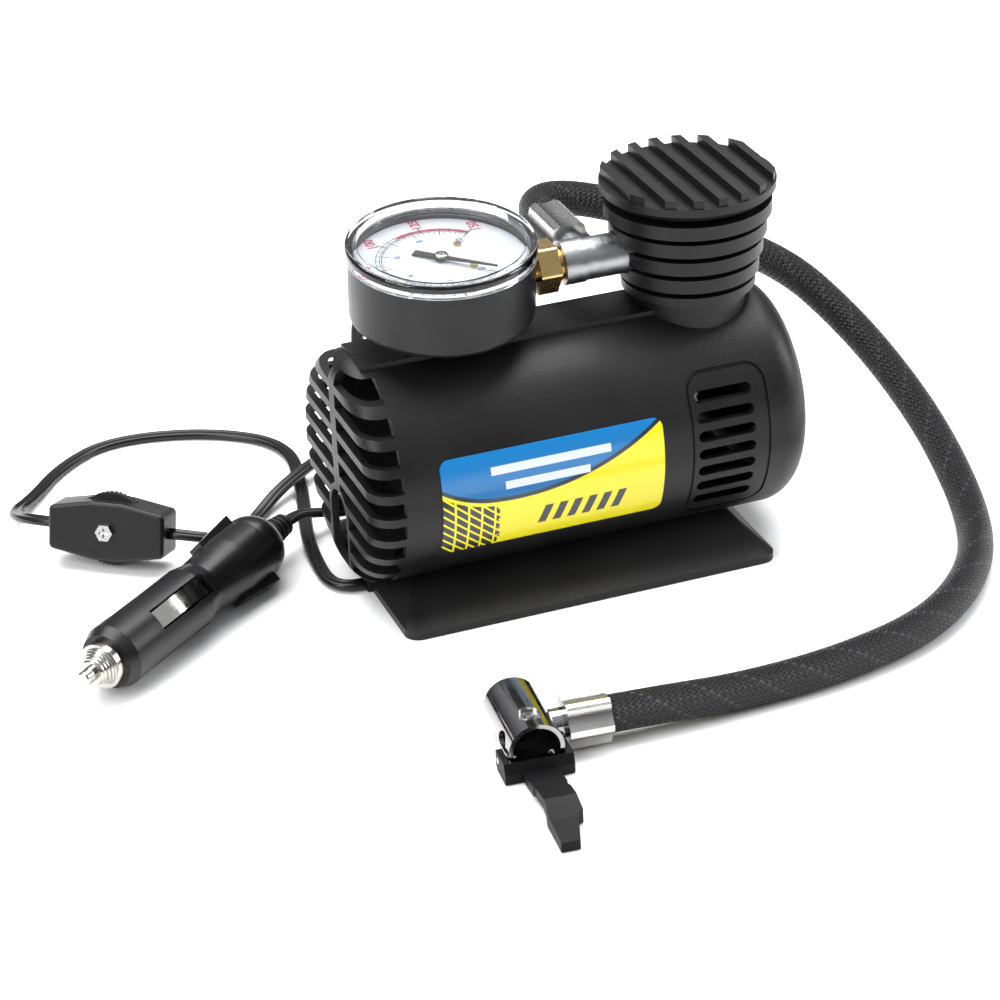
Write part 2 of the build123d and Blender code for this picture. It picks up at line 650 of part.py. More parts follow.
with BuildPart() as gauge_stem:
    with BuildSketch(Plane.YZ.offset(-6.6)):
        with Locations((0, STEM_Z)):
            RegularPolygon(8.9, 6)
    extrude(amount=6.8)
    chamfer(gauge_stem.edges().filter_by(GeomType.LINE).filter_by(Axis.X), 0.4)
    with BuildSketch(Plane.YZ.offset(-13)):
        with Locations((0, STEM_Z)):
            Circle(4.5)
    extrude(amount=7)
    with BuildSketch(Plane.YZ.offset(0.1)):
        with Locations((0, STEM_Z)):
            Circle(4.75)
    extrude(amount=8)
    for turn in range(7):
        with BuildSketch(Plane.YZ.offset(0.6 + 1.1 * turn)):
            with Locations((0, STEM_Z)):
                Circle(5.3)
        extrude(amount=0.6)
    with BuildSketch(Plane.YZ.offset(-15)):
        with Locations((0, STEM_Z)):
            Circle(1.8)
    extrude(amount=30, mode=Mode.SUBTRACT)
gauge_stem.part.label = "gauge_stem"
export_step(gauge_stem.part, "parts/gauge_stem.step")

# ---------------------------------------------------------------- pressure gauge
CASE_BOTTOM = -10.2
CASE_TOP = 11.4
RIM_TOP = 16.0
with BuildPart() as gauge_case:
    with BuildSketch(GAUGE.offset(CASE_BOTTOM)):
        Circle(GAUGE_R - 0.7)
    extrude(amount=CASE_TOP - CASE_BOTTOM)
    fillet(gauge_case.edges().filter_by(GeomType.CIRCLE).sort_by(Axis.Z)[0], 3.0)
    with BuildSketch(GAUGE.offset(CASE_BOTTOM + 1.6)):
        Circle(GAUGE_R - 2.4)
    extrude(amount=CASE_TOP, mode=Mode.SUBTRACT)
    with BuildSketch(GAUGE.offset(-2)):
        Circle(GAUGE_R - 2.4)
    extrude(amount=CASE_TOP + 2, mode=Mode.SUBTRACT)
    with BuildSketch(Plane.YZ.offset(GAUGE_X + 22)):
        with Locations((0, STEM_Z)):
            Circle(4.6)
    extrude(amount=9, mode=Mode.SUBTRACT)
gauge_case.part.label = "gauge_case"
export_step(gauge_case.part, "parts/gauge_case.step")

with BuildPart() as gauge_lens:
    with BuildSketch(GAUGE.offset(CASE_TOP)):
        Circle(GAUGE_R)
    extrude(amount=RIM_TOP - CASE_TOP)
    fillet(gauge_lens.edges().filter_by(GeomType.CIRCLE).sort_by(Axis.Z)[-1], 1.2)
    # recessed window, and the hollow below it
    with BuildSketch(GAUGE.offset(RIM_TOP - 2.0)):
        Circle(GAUGE_R - 3.6)
    extrude(amount=3, mode=Mode.SUBTRACT)
    with BuildSketch(GAUGE.offset(CASE_TOP - 1)):
        Circle(GAUGE_R - 2.6)
    extrude(amount=2.2, mode=Mode.SUBTRACT)
gauge_lens.part.label = "gauge_lens"
export_step(gauge_lens.part, "parts/gauge_lens.step")

DIAL_W = 7.6
with BuildPart() as gauge_dial:
    with BuildSketch(GAUGE.offset(DIAL_W)):
        Circle(GAUGE_R - 2.6)
        Circle(1.2, mode=Mode.SUBTRACT)
        with Locations((8.0, -7.5), (8.0, 7.5)):
            Circle(0.75, mode=Mode.SUBTRACT)
    extrude(amount=0.6)
gauge_dial.part.label = "gauge_dial"
export_step(gauge_dial.part, "parts/gauge_dial.step")

with BuildPart() as dial_screws:
    with BuildSketch(GAUGE.offset(DIAL_W + 0.6)):
        with Locations((8.0, -7.5), (8.0, 7.5)):
            Circle(1.2)
    extrude(amount=0.7)
    with BuildSketch(GAUGE.offset(DIAL_W - 0.75)):
        with Locations((8.0, -7.5), (8.0, 7.5)):
            Circle(0.7)
    extrude(amount=1.4)
dial_screws.part.label = "dial_screws"
export_step(dial_screws.part, "parts/dial_screws.step")

# Movement: two plates on pillars, a toothed sector driving the pointer's pinion.
MOVE_MODULE = 0.5
POINTER_TEETH = 8
SECTOR_TEETH = 64
SECTOR_X = -MOVE_MODULE * (POINTER_TEETH + SECTOR_TEETH) / 2
with BuildPart() as movement_frame:
    for plate_w in (0.4, 6.0):
        with BuildSketch(GAUGE.offset(plate_w)):
            with Locations((-8, 0)):
                RectangleRounded(27, 10, 2)
            with Locations((0.5, 0)):
                RectangleRounded(22, 19, 2)
            with Locations((0, 0), (SECTOR_X, 0)):
                Circle(0.7, mode=Mode.SUBTRACT)
            with Locations((8.0, -7.5), (8.0, 7.5)):
                Circle(0.75, mode=Mode.SUBTRACT)
        extrude(amount=0.8)
    with BuildSketch(GAUGE.offset(1.2)):
        with Locations((8.5, -4), (8.5, 4)):
            Circle(1.0)
    extrude(amount=4.8)
movement_frame.part.label = "gauge_movement_frame"
export_step(movement_frame.part, "parts/gauge_movement_frame.step")

SECTOR = Plane(
    origin=GAUGE.from_local_coords((SECTOR_X, 0, 0)),
    x_dir=GAUGE.x_dir,
    z_dir=GAUGE.z_dir,
)
with BuildPart() as sector_gear:
    with BuildSketch(SECTOR.offset(3.0)):
        with BuildLine():
            Polyline(*gear_outline(SECTOR_TEETH, MOVE_MODULE, backlash=0.14), close=True)
        make_face()
        with BuildLine():
            Polyline((0, 0), (24, -20), (24, 4), close=True)
        make_face(mode=Mode.INTERSECT)
        Circle(2.2)
    extrude(amount=1.0)
    with BuildSketch(SECTOR.offset(0.6)):
        Circle(0.65)
    extrude(amount=5.9)
sector_gear.part.label = "gauge_sector"
export_step(sector_gear.part, "parts/gauge_sector.step")

ARBOR_R = 0.65
ARBOR_TOP = 9.8
with BuildPart() as pointer_pinion:
    with BuildSketch(GAUGE.offset(2.5)):
        with BuildLine():
            first = 180.0 + 180.0 / POINTER_TEETH
            Polyline(*gear_outline(POINTER_TEETH, MOVE_MODULE, backlash=0.14, first=first), close=True)
        make_face()
    extrude(amount=2.0)
    with BuildSketch(GAUGE.offset(0.6)):
        Circle(ARBOR_R)
    extrude(amount=ARBOR_TOP - 0.6)
pointer_pinion.part.label = "gauge_pinion"
export_step(pointer_pinion.part, "parts/gauge_pinion.step")

with BuildPart() as bourdon_tube:
    with BuildLine() as bourdon_path:
        CenterArc((0, 0, 0), 23.6, 10, 250)
    with BuildSketch(Plane(origin=bourdon_path.line @ 0, z_dir=bourdon_path.line % 0)):
        Ellipse(1.1, 2.2)
    sweep()
bourdon_tube_placed = GAUGE.offset(-4.2) * bourdon_tube.part
bourdon_tube_placed.label = "bourdon_tube"
export_step(bourdon_tube_placed, "parts/bourdon_tube.step")

# The pointer rests on zero, short of the stem on the front side; its scale runs clockwise.
POINTER_ANGLE = -45.0
POINTER = GAUGE.offset(DIAL_W + 1.4).rotated((0, 0, POINTER_ANGLE))
with BuildPart() as needle:
    with BuildSketch(POINTER):
        Circle(2.3)
        with BuildLine():
            Polyline((-9.5, -1.5), (0, -0.95), (19.0, -0.25), (19.0, 0.25), (0, 0.95), (-9.5, 1.5), close=True)
        make_face()
    extrude(amount=0.5)
    with BuildSketch(POINTER.offset(0.4)):
        Circle(1.6)
    extrude(amount=0.9)
    with BuildSketch(GAUGE.offset(ARBOR_TOP)):
        Circle(ARBOR_R)
    extrude(amount=-5, mode=Mode.SUBTRACT)
needle.part.label = "gauge_needle"
export_step(needle.part, "parts/gauge_needle.step")

# ---------------------------------------------------------------- air hose and its two crimped ends
CHUCK_R = 8.5
CHUCK_LONG = 29.0
CHUCK_AXIS = Vector(-0.086, -0.9963, 0)
CHUCK_SIDE = Vector(0.9963, -0.086, 0)
CHUCK_MOUTH = Vector(-57.6, -126.0, CHUCK_R)
PORT_BACK = 12.0
PORT_LONG = 11.5
CHUCK_FERRULE_LONG = 13.5
HOSE_END = CHUCK_MOUTH - CHUCK_AXIS * PORT_BACK + CHUCK_SIDE * (PORT_LONG + CHUCK_FERRULE_LONG)
HOSE_ROUTE = [
    (PUMP_FERRULE_X, PUMP_FERRULE_Y1, PUMP_FERRULE_Z),
    (PUMP_FERRULE_X, 44.5, PUMP_FERRULE_Z),
    (22.5, 53.0, 99.6),
    (46.0, 50.0, 92.5),
    (72.0, 46.0, 80.0),
    (101.5, 41.5, 64.5),
    (118.5, 28.0, 46.0),
    (126.0, 5.0, 32.5),
    (128.5, -22.0, 20.0),
    (125.5, -53.0, 6.2),
    (109.5, -82.0, 6.0),
    (82.0, -105.0, 5.85),
    (46.0, -115.0, 5.9),
    (12.0, -117.0, 5.85),
    tuple(HOSE_END + CHUCK_SIDE * 17),
    tuple(HOSE_END),
]
hose_tube = route_tube(HOSE_ROUTE, HOSE_R, "air_hose")
hose_tube.label = "air_hose"
export_step(hose_tube, "parts/air_hose.step")


def crimped_ferrule(plane, length, radius):
    """A crimped sleeve: a round bar pressed to six hollow flats."""
    with BuildPart() as sleeve:
        with BuildSketch(plane):
            Circle(radius)
            with PolarLocations(radius + 6.6, 6, start_angle=30):
                Circle(7.9, mode=Mode.SUBTRACT)
        extrude(amount=length)
    return sleeve.part


PUMP_FERRULE = Plane(origin=(PUMP_FERRULE_X, PUMP_FERRULE_Y0, PUMP_FERRULE_Z), x_dir=(1, 0, 0), z_dir=(0, 1, 0))
pump_ferrule = crimped_ferrule(PUMP_FERRULE, PUMP_FERRULE_Y1 - PUMP_FERRULE_Y0, 8.6)
pump_ferrule.label = "hose_ferrule_pump"
export_step(pump_ferrule, "parts/hose_ferrule_pump.step")

# ---------------------------------------------------------------- valve chuck, lying on the ground
# Local frame at the mouth: x to the hose side, y up, z out of the mouth.
CHUCK = Plane(origin=CHUCK_MOUTH, x_dir=CHUCK_SIDE, z_dir=CHUCK_AXIS)
PORT = Plane(origin=CHUCK_MOUTH - CHUCK_AXIS * PORT_BACK, x_dir=CHUCK_AXIS, z_dir=CHUCK_SIDE)

LEVER_HALF = 8.4
LEVER_PIVOT_BACK = 5.0
LEVER_PIVOT_Z = 4.0
# The barrel's lower front edge is 6.4 mm from the pivot, and stays inside this circle.
LEVER_SWEEP_R = 6.75
# Down is the port plane's -y when its normal is the hose side.
PIN_SIDE = -1.0 if PORT.y_dir.Z > 0 else 1.0
with BuildPart() as chuck_barrel:
    with BuildSketch(CHUCK.offset(-CHUCK_LONG)):
        Circle(CHUCK_R)
    extrude(amount=CHUCK_LONG)
    fillet(chuck_barrel.edges().filter_by(GeomType.CIRCLE).sort_by(Axis.Y)[-1], 1.6)
    with BuildSketch(PORT):
        Circle(4.6)
    extrude(amount=PORT_LONG)
    with BuildSketch(CHUCK.offset(-21)):
        Circle(7.2)
    extrude(amount=22, mode=Mode.SUBTRACT)
    with BuildSketch(PORT.offset(6)):
        Circle(2.2)
    extrude(amount=6, mode=Mode.SUBTRACT)
    # round windows on top and on the left
    with BuildSketch(Plane(origin=CHUCK_MOUTH - CHUCK_AXIS * 7.0, x_dir=CHUCK_SIDE, z_dir=(0, 0, 1))):
        Circle(3.6)
    extrude(amount=12, mode=Mode.SUBTRACT)
    with BuildSketch(Plane(origin=CHUCK_MOUTH - CHUCK_AXIS * 7.0, x_dir=CHUCK_AXIS, z_dir=-CHUCK_SIDE)):
        Circle(3.6)
    extrude(amount=12, mode=Mode.SUBTRACT)
    # cross hole for the lever's two pins
    with BuildSketch(PORT.offset(0).shift_origin(CHUCK_MOUTH - CHUCK_AXIS * LEVER_PIVOT_BACK)):
        with Locations((0, (CHUCK_R - LEVER_PIVOT_Z) * PIN_SIDE)):
            Circle(1.0)
    extrude(amount=12, both=True, mode=Mode.SUBTRACT)
chuck_barrel.part.label = "chuck_barrel"
export_step(chuck_barrel.part, "parts/chuck_barrel.step")

chuck_ferrule = crimped_ferrule(PORT.offset(PORT_LONG), CHUCK_FERRULE_LONG, 8.3)
chuck_ferrule.label = "hose_ferrule_chuck"
export_step(chuck_ferrule, "parts/hose_ferrule_chuck.step")

SEAL_BORE_R = 4.0
with BuildPart() as chuck_seal:
    with BuildSketch(CHUCK.offset(-20.9)):
        Circle(7.1)
        Circle(SEAL_BORE_R, mode=Mode.SUBTRACT)
    extrude(amount=9.5)
chuck_seal.part.label = "chuck_seal"
export_step(chuck_seal.part, "parts/chuck_seal.step")

with BuildPart() as chuck_core:
    with BuildSketch(CHUCK.offset(-20.9)):
        Circle(3.4)
    extrude(amount=2)
    with BuildSketch(CHUCK.offset(-19)):
        Circle(0.9)
    extrude(amount=6.5)
chuck_core.part.label = "valve_depressor"
export_step(chuck_core.part, "parts/valve_depressor.step")

# Locking tooth: a pin on a disc that closes the top window and bites on the valve's thread.
TOOTH = Plane(origin=CHUCK_MOUTH - CHUCK_AXIS * 7.0, x_dir=CHUCK_SIDE, z_dir=(0, 0, 1))
with BuildPart() as locking_pin:
    with BuildSketch(TOOTH.offset(6.3)):
        Circle(3.55)
    extrude(amount=0.8)
    with BuildSketch(TOOTH.offset(4.2)):
        Circle(1.2)
    extrude(amount=2.1)
    with BuildSketch(TOOTH.offset(7.1)):
        Circle(1.7)
    extrude(amount=0.9, taper=25)
locking_pin.part.label = "locking_pin"
export_step(locking_pin.part, "parts/locking_pin.step")

# Thumb lever: a stirrup under the mouth, then a cranked handle with a thumb step.
LEVER_PROFILE = Plane(origin=(CHUCK_MOUTH.X, CHUCK_MOUTH.Y, 0), x_dir=CHUCK_AXIS, z_dir=-CHUCK_SIDE)
LEVER_UP = 1.0 if LEVER_PROFILE.y_dir.Z > 0 else -1.0
with BuildPart() as chuck_lever:
    with BuildSketch(LEVER_PROFILE.offset(-LEVER_HALF - 2.2)):
        with BuildLine():
            Polyline(
                (-7.0, LEVER_UP * 1.6),
                (-7.0, LEVER_UP * 6.6),
                (1.6, LEVER_UP * 6.6),
                (3.0, LEVER_UP * 3.6),
                (3.0, LEVER_UP * 0.4),
                (-5.5, LEVER_UP * 0.4),
                close=True,
            )
        make_face()
    extrude(amount=2 * LEVER_HALF + 4.4)
    with BuildSketch(CHUCK.offset(-10)):
        Circle(CHUCK_R + 0.35)
    extrude(amount=10.3, mode=Mode.SUBTRACT)
    with BuildSketch(LEVER_PROFILE.offset(-LEVER_HALF - 0.1)):
        with Locations((-4.3, LEVER_UP * 3.4)):
            Rectangle(9.2, 8)
    extrude(amount=2 * LEVER_HALF + 0.2, mode=Mode.SUBTRACT)
    with BuildSketch(LEVER_PROFILE.offset(-5.2)):
        with BuildLine():
            Polyline(
                (0.6, LEVER_UP * 0.4),
                (0.6, LEVER_UP * 3.6),
                (3.0, LEVER_UP * 3.6),
                (16.0, LEVER_UP * 5.6),
                (22.0, LEVER_UP * 6.4),
                (30.0, LEVER_UP * 4.4),
                (40.5, LEVER_UP * 3.6),
                (40.5, LEVER_UP * 0.4),
                (26.0, LEVER_UP * 0.4),
                (22.0, LEVER_UP * 3.0),
                (14.0, LEVER_UP * 2.2),
                close=True,
            )
        make_face()
    extrude(amount=10.4)
    # room for the mouth's lower edge as the lever swings
    with BuildSketch(LEVER_PROFILE.offset(-LEVER_HALF - 0.1)):
        with Locations((-LEVER_PIVOT_BACK, LEVER_UP * LEVER_PIVOT_Z)):
            Circle(LEVER_SWEEP_R)
    extrude(amount=2 * LEVER_HALF + 0.2, mode=Mode.SUBTRACT)
    # outline from above: narrow neck, wider thumb pad, narrow tip
    with BuildSketch(Plane(origin=(CHUCK_MOUTH.X, CHUCK_MOUTH.Y, -1), x_dir=CHUCK_AXIS, z_dir=(0, 0, 1))):
        with BuildLine():
            Polyline((-9, -12), (2.6, -12), (14.0, -4.8), (24.0, -4.6), (40.6, -8.0), (41, -3.6), (41, 0.4),
                     (29.0, 3.4), (27.5, 6.2), (22.0, 6.4), (14.0, 4.6), (2.6, 12), (-9, 12), close=True)
        make_face()
    extrude(amount=12, mode=Mode.INTERSECT)
    with BuildSketch(LEVER_PROFILE.offset(-LEVER_HALF - 3)):
        with Locations((-LEVER_PIVOT_BACK, LEVER_UP * LEVER_PIVOT_Z)):
            Circle(1.05)
    extrude(amount=2 * LEVER_HALF + 6, mode=Mode.SUBTRACT)
chuck_lever.part.label = "chuck_lever"
export_step(chuck_lever.part, "parts/chuck_lever.step")

with BuildPart() as lever_pins:
    for side in (-1, 1):
        with BuildSketch(LEVER_PROFILE.offset(side * (LEVER_HALF + 2.2))):
            with Locations((-LEVER_PIVOT_BACK, LEVER_UP * LEVER_PIVOT_Z)):
                Circle(1.0)
        extrude(amount=-side * 5.4)
lever_pins.part.label = "lever_pins"
export_step(lever_pins.part, "parts/lever_pins.step")

# ---------------------------------------------------------------- in-line thumbwheel switch on the cord
SWITCH_CENTRE = Vector(-137.8, 48.9, 12.5)
SWITCH = Plane(origin=SWITCH_CENTRE, x_dir=Vector(0.81, -0.5864, 0), z_dir=Vector(-0.5664, -0.7824, 0.2588))
SWITCH_AXIS = SWITCH.x_dir
SWITCH_FACE = SWITCH.z_dir
SWITCH_LONG = 40.0
SWITCH_END = 14.4
SWITCH_MIDDLE = 19.6
SWITCH_THICK = 13.0
WHEEL_R = 12.2
WHEEL_THICK = 3.0
SWITCH_OUTLINE = [
    (-SWITCH_LONG / 2, -SWITCH_END / 2),
    (-5, -SWITCH_MIDDLE / 2),
    (5, -SWITCH_MIDDLE / 2),
    (SWITCH_LONG / 2, -SWITCH_END / 2),
    (SWITCH_LONG / 2, SWITCH_END / 2),
    (5, SWITCH_MIDDLE / 2),
    (-5, SWITCH_MIDDLE / 2),
    (-SWITCH_LONG / 2, SWITCH_END / 2),
]

for label, side in (("switch_front", 1), ("switch_back", -1)):
    with BuildPart() as switch_half:
        with BuildSketch(SWITCH.offset(side * 0.05)):
            with BuildLine():
                Polyline(*SWITCH_OUTLINE, close=True)
            make_face()
        extrude(amount=side * (SWITCH_THICK / 2 - 0.05))
        fillet(switch_half.edges().filter_by(Axis(SWITCH_CENTRE, SWITCH_FACE)), 1.8)
        outer_face = switch_half.faces().sort_by(Axis(SWITCH_CENTRE, SWITCH_FACE))[-1 if side > 0 else 0]
        fillet(outer_face.edges(), 1.2)
        # wheel pocket, post hole and cord channel
        with BuildSketch(SWITCH):
            Circle(WHEEL_R + 0.4)
        extrude(amount=side * (WHEEL_THICK / 2 + 0.3), mode=Mode.SUBTRACT)
        with BuildSketch(SWITCH):
            Circle(1.3)
        extrude(amount=side * SWITCH_THICK, mode=Mode.SUBTRACT)
        with BuildSketch(SWITCH):
            with Locations((-SWITCH_LONG / 2 + 4, 0), (SWITCH_LONG / 2 - 4, 0)):
                Rectangle(6, 5)
        extrude(amount=side * 2.2, mode=Mode.SUBTRACT)
    switch_half.part.label = label
    export_step(switch_half.part, f"parts/{label}.step")

with BuildPart() as switch_wheel:
    with BuildSketch(SWITCH.offset(-WHEEL_THICK / 2)):
        Circle(WHEEL_R)
        with PolarLocations(WHEEL_R + 0.25, 48):
            Circle(0.55, mode=Mode.SUBTRACT)
        Circle(1.25, mode=Mode.SUBTRACT)
    extrude(amount=WHEEL_THICK)
switch_wheel.part.label = "switch_wheel"
export_step(switch_wheel.part, "parts/switch_wheel.step")

# Hexagon-headed screw with a cross recess.
with BuildPart() as switch_screw:
    with BuildSketch(SWITCH.offset(-SWITCH_THICK / 2)):
        Circle(1.2)
    extrude(amount=SWITCH_THICK)
    with BuildSketch(SWITCH.offset(SWITCH_THICK / 2)):
        RegularPolygon(3.0, 6)
    extrude(amount=1.6)
    with BuildSketch(SWITCH.offset(SWITCH_THICK / 2 + 0.8)):
        Rectangle(3.2, 0.7)
        Rectangle(0.7, 3.2)
    extrude(amount=1, mode=Mode.SUBTRACT)
switch_screw.part.label = "switch_screw"
export_step(switch_screw.part, "parts/switch_screw.step")

# ---------------------------------------------------------------- 12 V plug, lying on the ground
PLUG_TIP = Vector(-170.3, -39.5, 12.0)
# Local frame at the tip: z along the plug, x out of the contact window.
PLUG = Plane(origin=PLUG_TIP, x_dir=Vector(0.4350, -0.5410, 0.7180), z_dir=Vector(0.7790, 0.6270, 0))
PLUG_AXIS = PLUG.z_dir
WINDOW_DIR = PLUG.x_dir
PLUG_R = 10.5
TIP_R = 2.4
WINDOW_S = 43.0

with BuildPart() as plug_tip:
    with BuildSketch(PLUG):
        Circle(TIP_R)
    extrude(amount=9)
    chamfer(plug_tip.edges().filter_by(GeomType.CIRCLE).sort_by(Axis(PLUG_TIP, PLUG_AXIS))[0], 0.5)
    with BuildSketch(PLUG.offset(9)):
        Circle(3.6)
    extrude(amount=2)
plug_tip.part.label = "plug_tip"
export_step(plug_tip.part, "parts/plug_tip.step")

with BuildPart() as plug_ring:
    with BuildSketch(PLUG.offset(4.2)):
        Circle(3.8)
    with BuildSketch(PLUG.offset(8.6)):
        Circle(6.3)
    loft()
    with BuildSketch(PLUG.offset(8.6)):
        Circle(7.4)
    extrude(amount=3.2)
    for thread in range(4):
        with BuildSketch(PLUG.offset(4.9 + thread)):
            Circle(4.6 + 0.5 * thread)
        extrude(amount=0.45)
    with BuildSketch(PLUG.offset(11.8)):
        Circle(6.4)
    extrude(amount=5)
    with BuildSketch(PLUG.offset(3)):
        Circle(TIP_R + 0.08)
    extrude(amount=20, mode=Mode.SUBTRACT)
    with BuildSketch(PLUG.offset(5.8)):
        Circle(3.75)
    extrude(amount=12, mode=Mode.SUBTRACT)
plug_ring.part.label = "plug_ring"
export_step(plug_ring.part, "parts/plug_ring.step")

# Half outlines are (distance from the axis, distance from the tip).
with BuildPart() as plug_solid:
    with BuildSketch(Plane(origin=PLUG_TIP, x_dir=WINDOW_DIR, z_dir=WINDOW_DIR.cross(PLUG_AXIS))):
        with BuildLine():
            Polyline((0, 11.8), (9.0, 11.8), (PLUG_R, 15.5), (PLUG_R, 54.0))
            Polyline((PLUG_R, 54.0), (9.3, 60.5), (9.7, 66.0), (10.8, 76.0), (10.9, 88.0))
            ThreePointArc((10.9, 88.0), (9.0, 96.0), (4.6, 99.0))
            Polyline((4.6, 99.0), (0, 99.0), (0, 11.8))
        make_face()
    revolve(axis=Axis(PLUG_TIP, PLUG_AXIS))
    # finger wings
    for side in (-1, 1):
        with BuildSketch(PLUG.offset(71)):
            with Locations((0, side * 10.4)):
                Rectangle(6, 2.4)
        with BuildSketch(PLUG.offset(88)):
            with Locations((0, side * 11.7)):
                Rectangle(7, 3.4)
        loft()
with BuildPart() as plug_cutter:
    # long shallow pockets at the sides, and the contact windows between them
    for side in (-1, 1):
        pocket_floor = PLUG_TIP + PLUG_AXIS * 38 + PLUG.y_dir * (side * (PLUG_R - 1.3))
        with BuildSketch(Plane(origin=pocket_floor, x_dir=PLUG_AXIS, z_dir=PLUG.y_dir * side)):
            SlotOverall(34, 5.4)
        extrude(amount=6)
        window_middle = PLUG_TIP + PLUG_AXIS * WINDOW_S
        with BuildSketch(Plane(origin=window_middle, x_dir=PLUG_AXIS, z_dir=WINDOW_DIR * side)):
            Rectangle(27, 7.4)
        extrude(amount=20)
    # hollow for the fuse and springs
    with BuildSketch(PLUG.offset(11)):
        Circle(6.5)
    extrude(amount=48)
    with BuildSketch(PLUG.offset(58)):
        Circle(3.0)
    extrude(amount=42)

PLUG_CENTRE_PLANE = Plane(origin=PLUG_TIP, x_dir=PLUG_AXIS, z_dir=WINDOW_DIR)
for label, side in (("plug_shell_upper", 1), ("plug_shell_lower", -1)):
    with BuildPart() as plug_half:
        add(plug_solid.part)
        add(plug_cutter.part, mode=Mode.SUBTRACT)
        with BuildSketch(PLUG_CENTRE_PLANE.offset(side * 0.04)):
            with Locations((50, 0)):
                Rectangle(120, 60)
        extrude(amount=-side * 30, mode=Mode.SUBTRACT)
    plug_half.part.label = label
    export_step(plug_half.part, f"parts/{label}.step")

with BuildPart() as plug_fuse:
    with BuildSketch(PLUG.offset(19)):
        Circle(3.1)
    extrude(amount=30)
plug_fuse.part.label = "plug_fuse"
export_step(plug_fuse.part, "parts/plug_fuse.step")

# Sprung side contacts: bowed strips that stand a little proud of their windows.
for label, side in (("plug_contact_upper", 1), ("plug_contact_lower", -1)):
    contact_plane = Plane(origin=PLUG_TIP + PLUG_AXIS * WINDOW_S, x_dir=PLUG_AXIS, z_dir=PLUG.y_dir)
    out = side * (1.0 if contact_plane.y_dir.dot(WINDOW_DIR) > 0 else -1.0)
    with BuildPart() as contact:
        with BuildSketch(contact_plane.offset(-3.0)):
            with BuildLine():
                Polyline((-12.4, out * 8.6), (-12.4, out * 8.0), (12.4, out * 8.0), (12.4, out * 8.6))
                ThreePointArc((12.4, out * 8.6), (0, out * 11.3), (-12.4, out * 8.6))
            make_face()
        extrude(amount=6.0)
    contact.part.label = label
    export_step(contact.part, f"parts/{label}.step")

with BuildPart() as plug_relief:
    with BuildSketch(PLUG.offset(99.05)):
        Circle(4.2)
    with BuildSketch(PLUG.offset(110)):
        Circle(2.9)
    loft()
    for ring in range(4):
        with BuildSketch(PLUG.offset(100.6 + 2.3 * ring)):
            Circle(4.6 - 0.28 * ring)
        extrude(amount=1.3)
plug_relief.part.label = "plug_strain_relief"
export_step(plug_relief.part, "parts/plug_strain_relief.step")

# ---------------------------------------------------------------- power cord
SWITCH_IN = SWITCH_CENTRE - SWITCH_AXIS * (SWITCH_LONG / 2)
SWITCH_OUT = SWITCH_CENTRE + SWITCH_AXIS * (SWITCH_LONG / 2)
RELIEF_END = PLUG_TIP + PLUG_AXIS * 110

COIL_X = 41.0
COIL_Y = 95.0
COIL_INNER_R = 20.4
COIL_OUTER_R = 35.6
COIL_TALL = 12.0
COIL_IN = Vector(cos(radians(110)), sin(radians(110)), 0)
COIL_OUT = Vector(cos(radians(215)), sin(radians(215)), 0)
COIL_CENTRE = Vector(COIL_X, COIL_Y, 1.9)

CORD_EXIT_ROUTE = [
    (GROMMET_X, GROMMET_Y, GROMMET_Z),
    (-74.0, GROMMET_Y, GROMMET_Z),
    (-78.5, 3.5, 2.0),
    (-78.5, 15.0, 1.85),
    (-76.0, 36.0, 1.9),
    (-67.0, 68.0, 1.85),
    (-61.0, 103.0, 1.9),
    (-84.0, 124.0, 1.85),
    (-118.0, 132.0, 1.9),
    (-139.0, 119.0, 1.85),
    (-153.5, 99.0, 2.4),
    (-164.0, 85.0, 5.5),
    tuple(SWITCH_IN - SWITCH_AXIS * 9),
    tuple(SWITCH_IN),
]
CORD_MIDDLE_ROUTE = [
    tuple(SWITCH_OUT),
    tuple(SWITCH_OUT + SWITCH_AXIS * 9),
    (-103.5, 34.0, 7.5),
    (-95.5, 45.0, 3.0),
    (-87.0, 56.0, 1.9),
    (-75.0, 66.0, 6.4),
    (-52.0, 84.0, 6.4),
    (-37.0, 101.0, 1.9),
    (-22.0, 134.0, 1.85),
    (-12.0, 175.0, 1.9),
    (0.0, 203.0, 1.85),
    (22.0, 203.0, 1.9),
    (35.0, 184.0, 1.85),
    (30.0, 160.0, 1.9),
    tuple(COIL_CENTRE + COIL_IN * (COIL_OUTER_R + 12)),
    tuple(COIL_CENTRE + COIL_IN * (COIL_OUTER_R + 0.06)),
]
CORD_PLUG_ROUTE = [
    tuple(COIL_CENTRE + COIL_OUT * (COIL_OUTER_R + 0.06)),
    tuple(COIL_CENTRE + COIL_OUT * (COIL_OUTER_R + 12)),
    (-16.0, 57.0, 1.85),
    (-38.0, 50.0, 1.9),
    (-60.0, 44.0, 3.5),
    (-72.0, 38.5, 8.5),
    tuple(RELIEF_END + PLUG_AXIS * 6),
    tuple(RELIEF_END),
]
for label, route in (
    ("power_cord_to_switch", CORD_EXIT_ROUTE),
    ("power_cord_to_coil", CORD_MIDDLE_ROUTE),
    ("power_cord_to_plug", CORD_PLUG_ROUTE),
):
    cord_tube = route_tube(route, CORD_R, label)
    cord_tube.label = label
    export_step(cord_tube, f"parts/{label}.step")

with BuildPart() as cord_coil:
    with BuildSketch(Plane.XY.offset(0.3)):
        with Locations((COIL_X, COIL_Y)):
            Circle(COIL_OUTER_R)
            Circle(COIL_INNER_R, mode=Mode.SUBTRACT)
    extrude(amount=COIL_TALL)
    fillet(cord_coil.edges(), 1.5)
cord_coil.part.label = "power_cord_coil"
export_step(cord_coil.part, "parts/power_cord_coil.step")
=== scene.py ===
"""Looks of the portable tire inflator: camera, cords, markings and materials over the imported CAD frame."""

import math

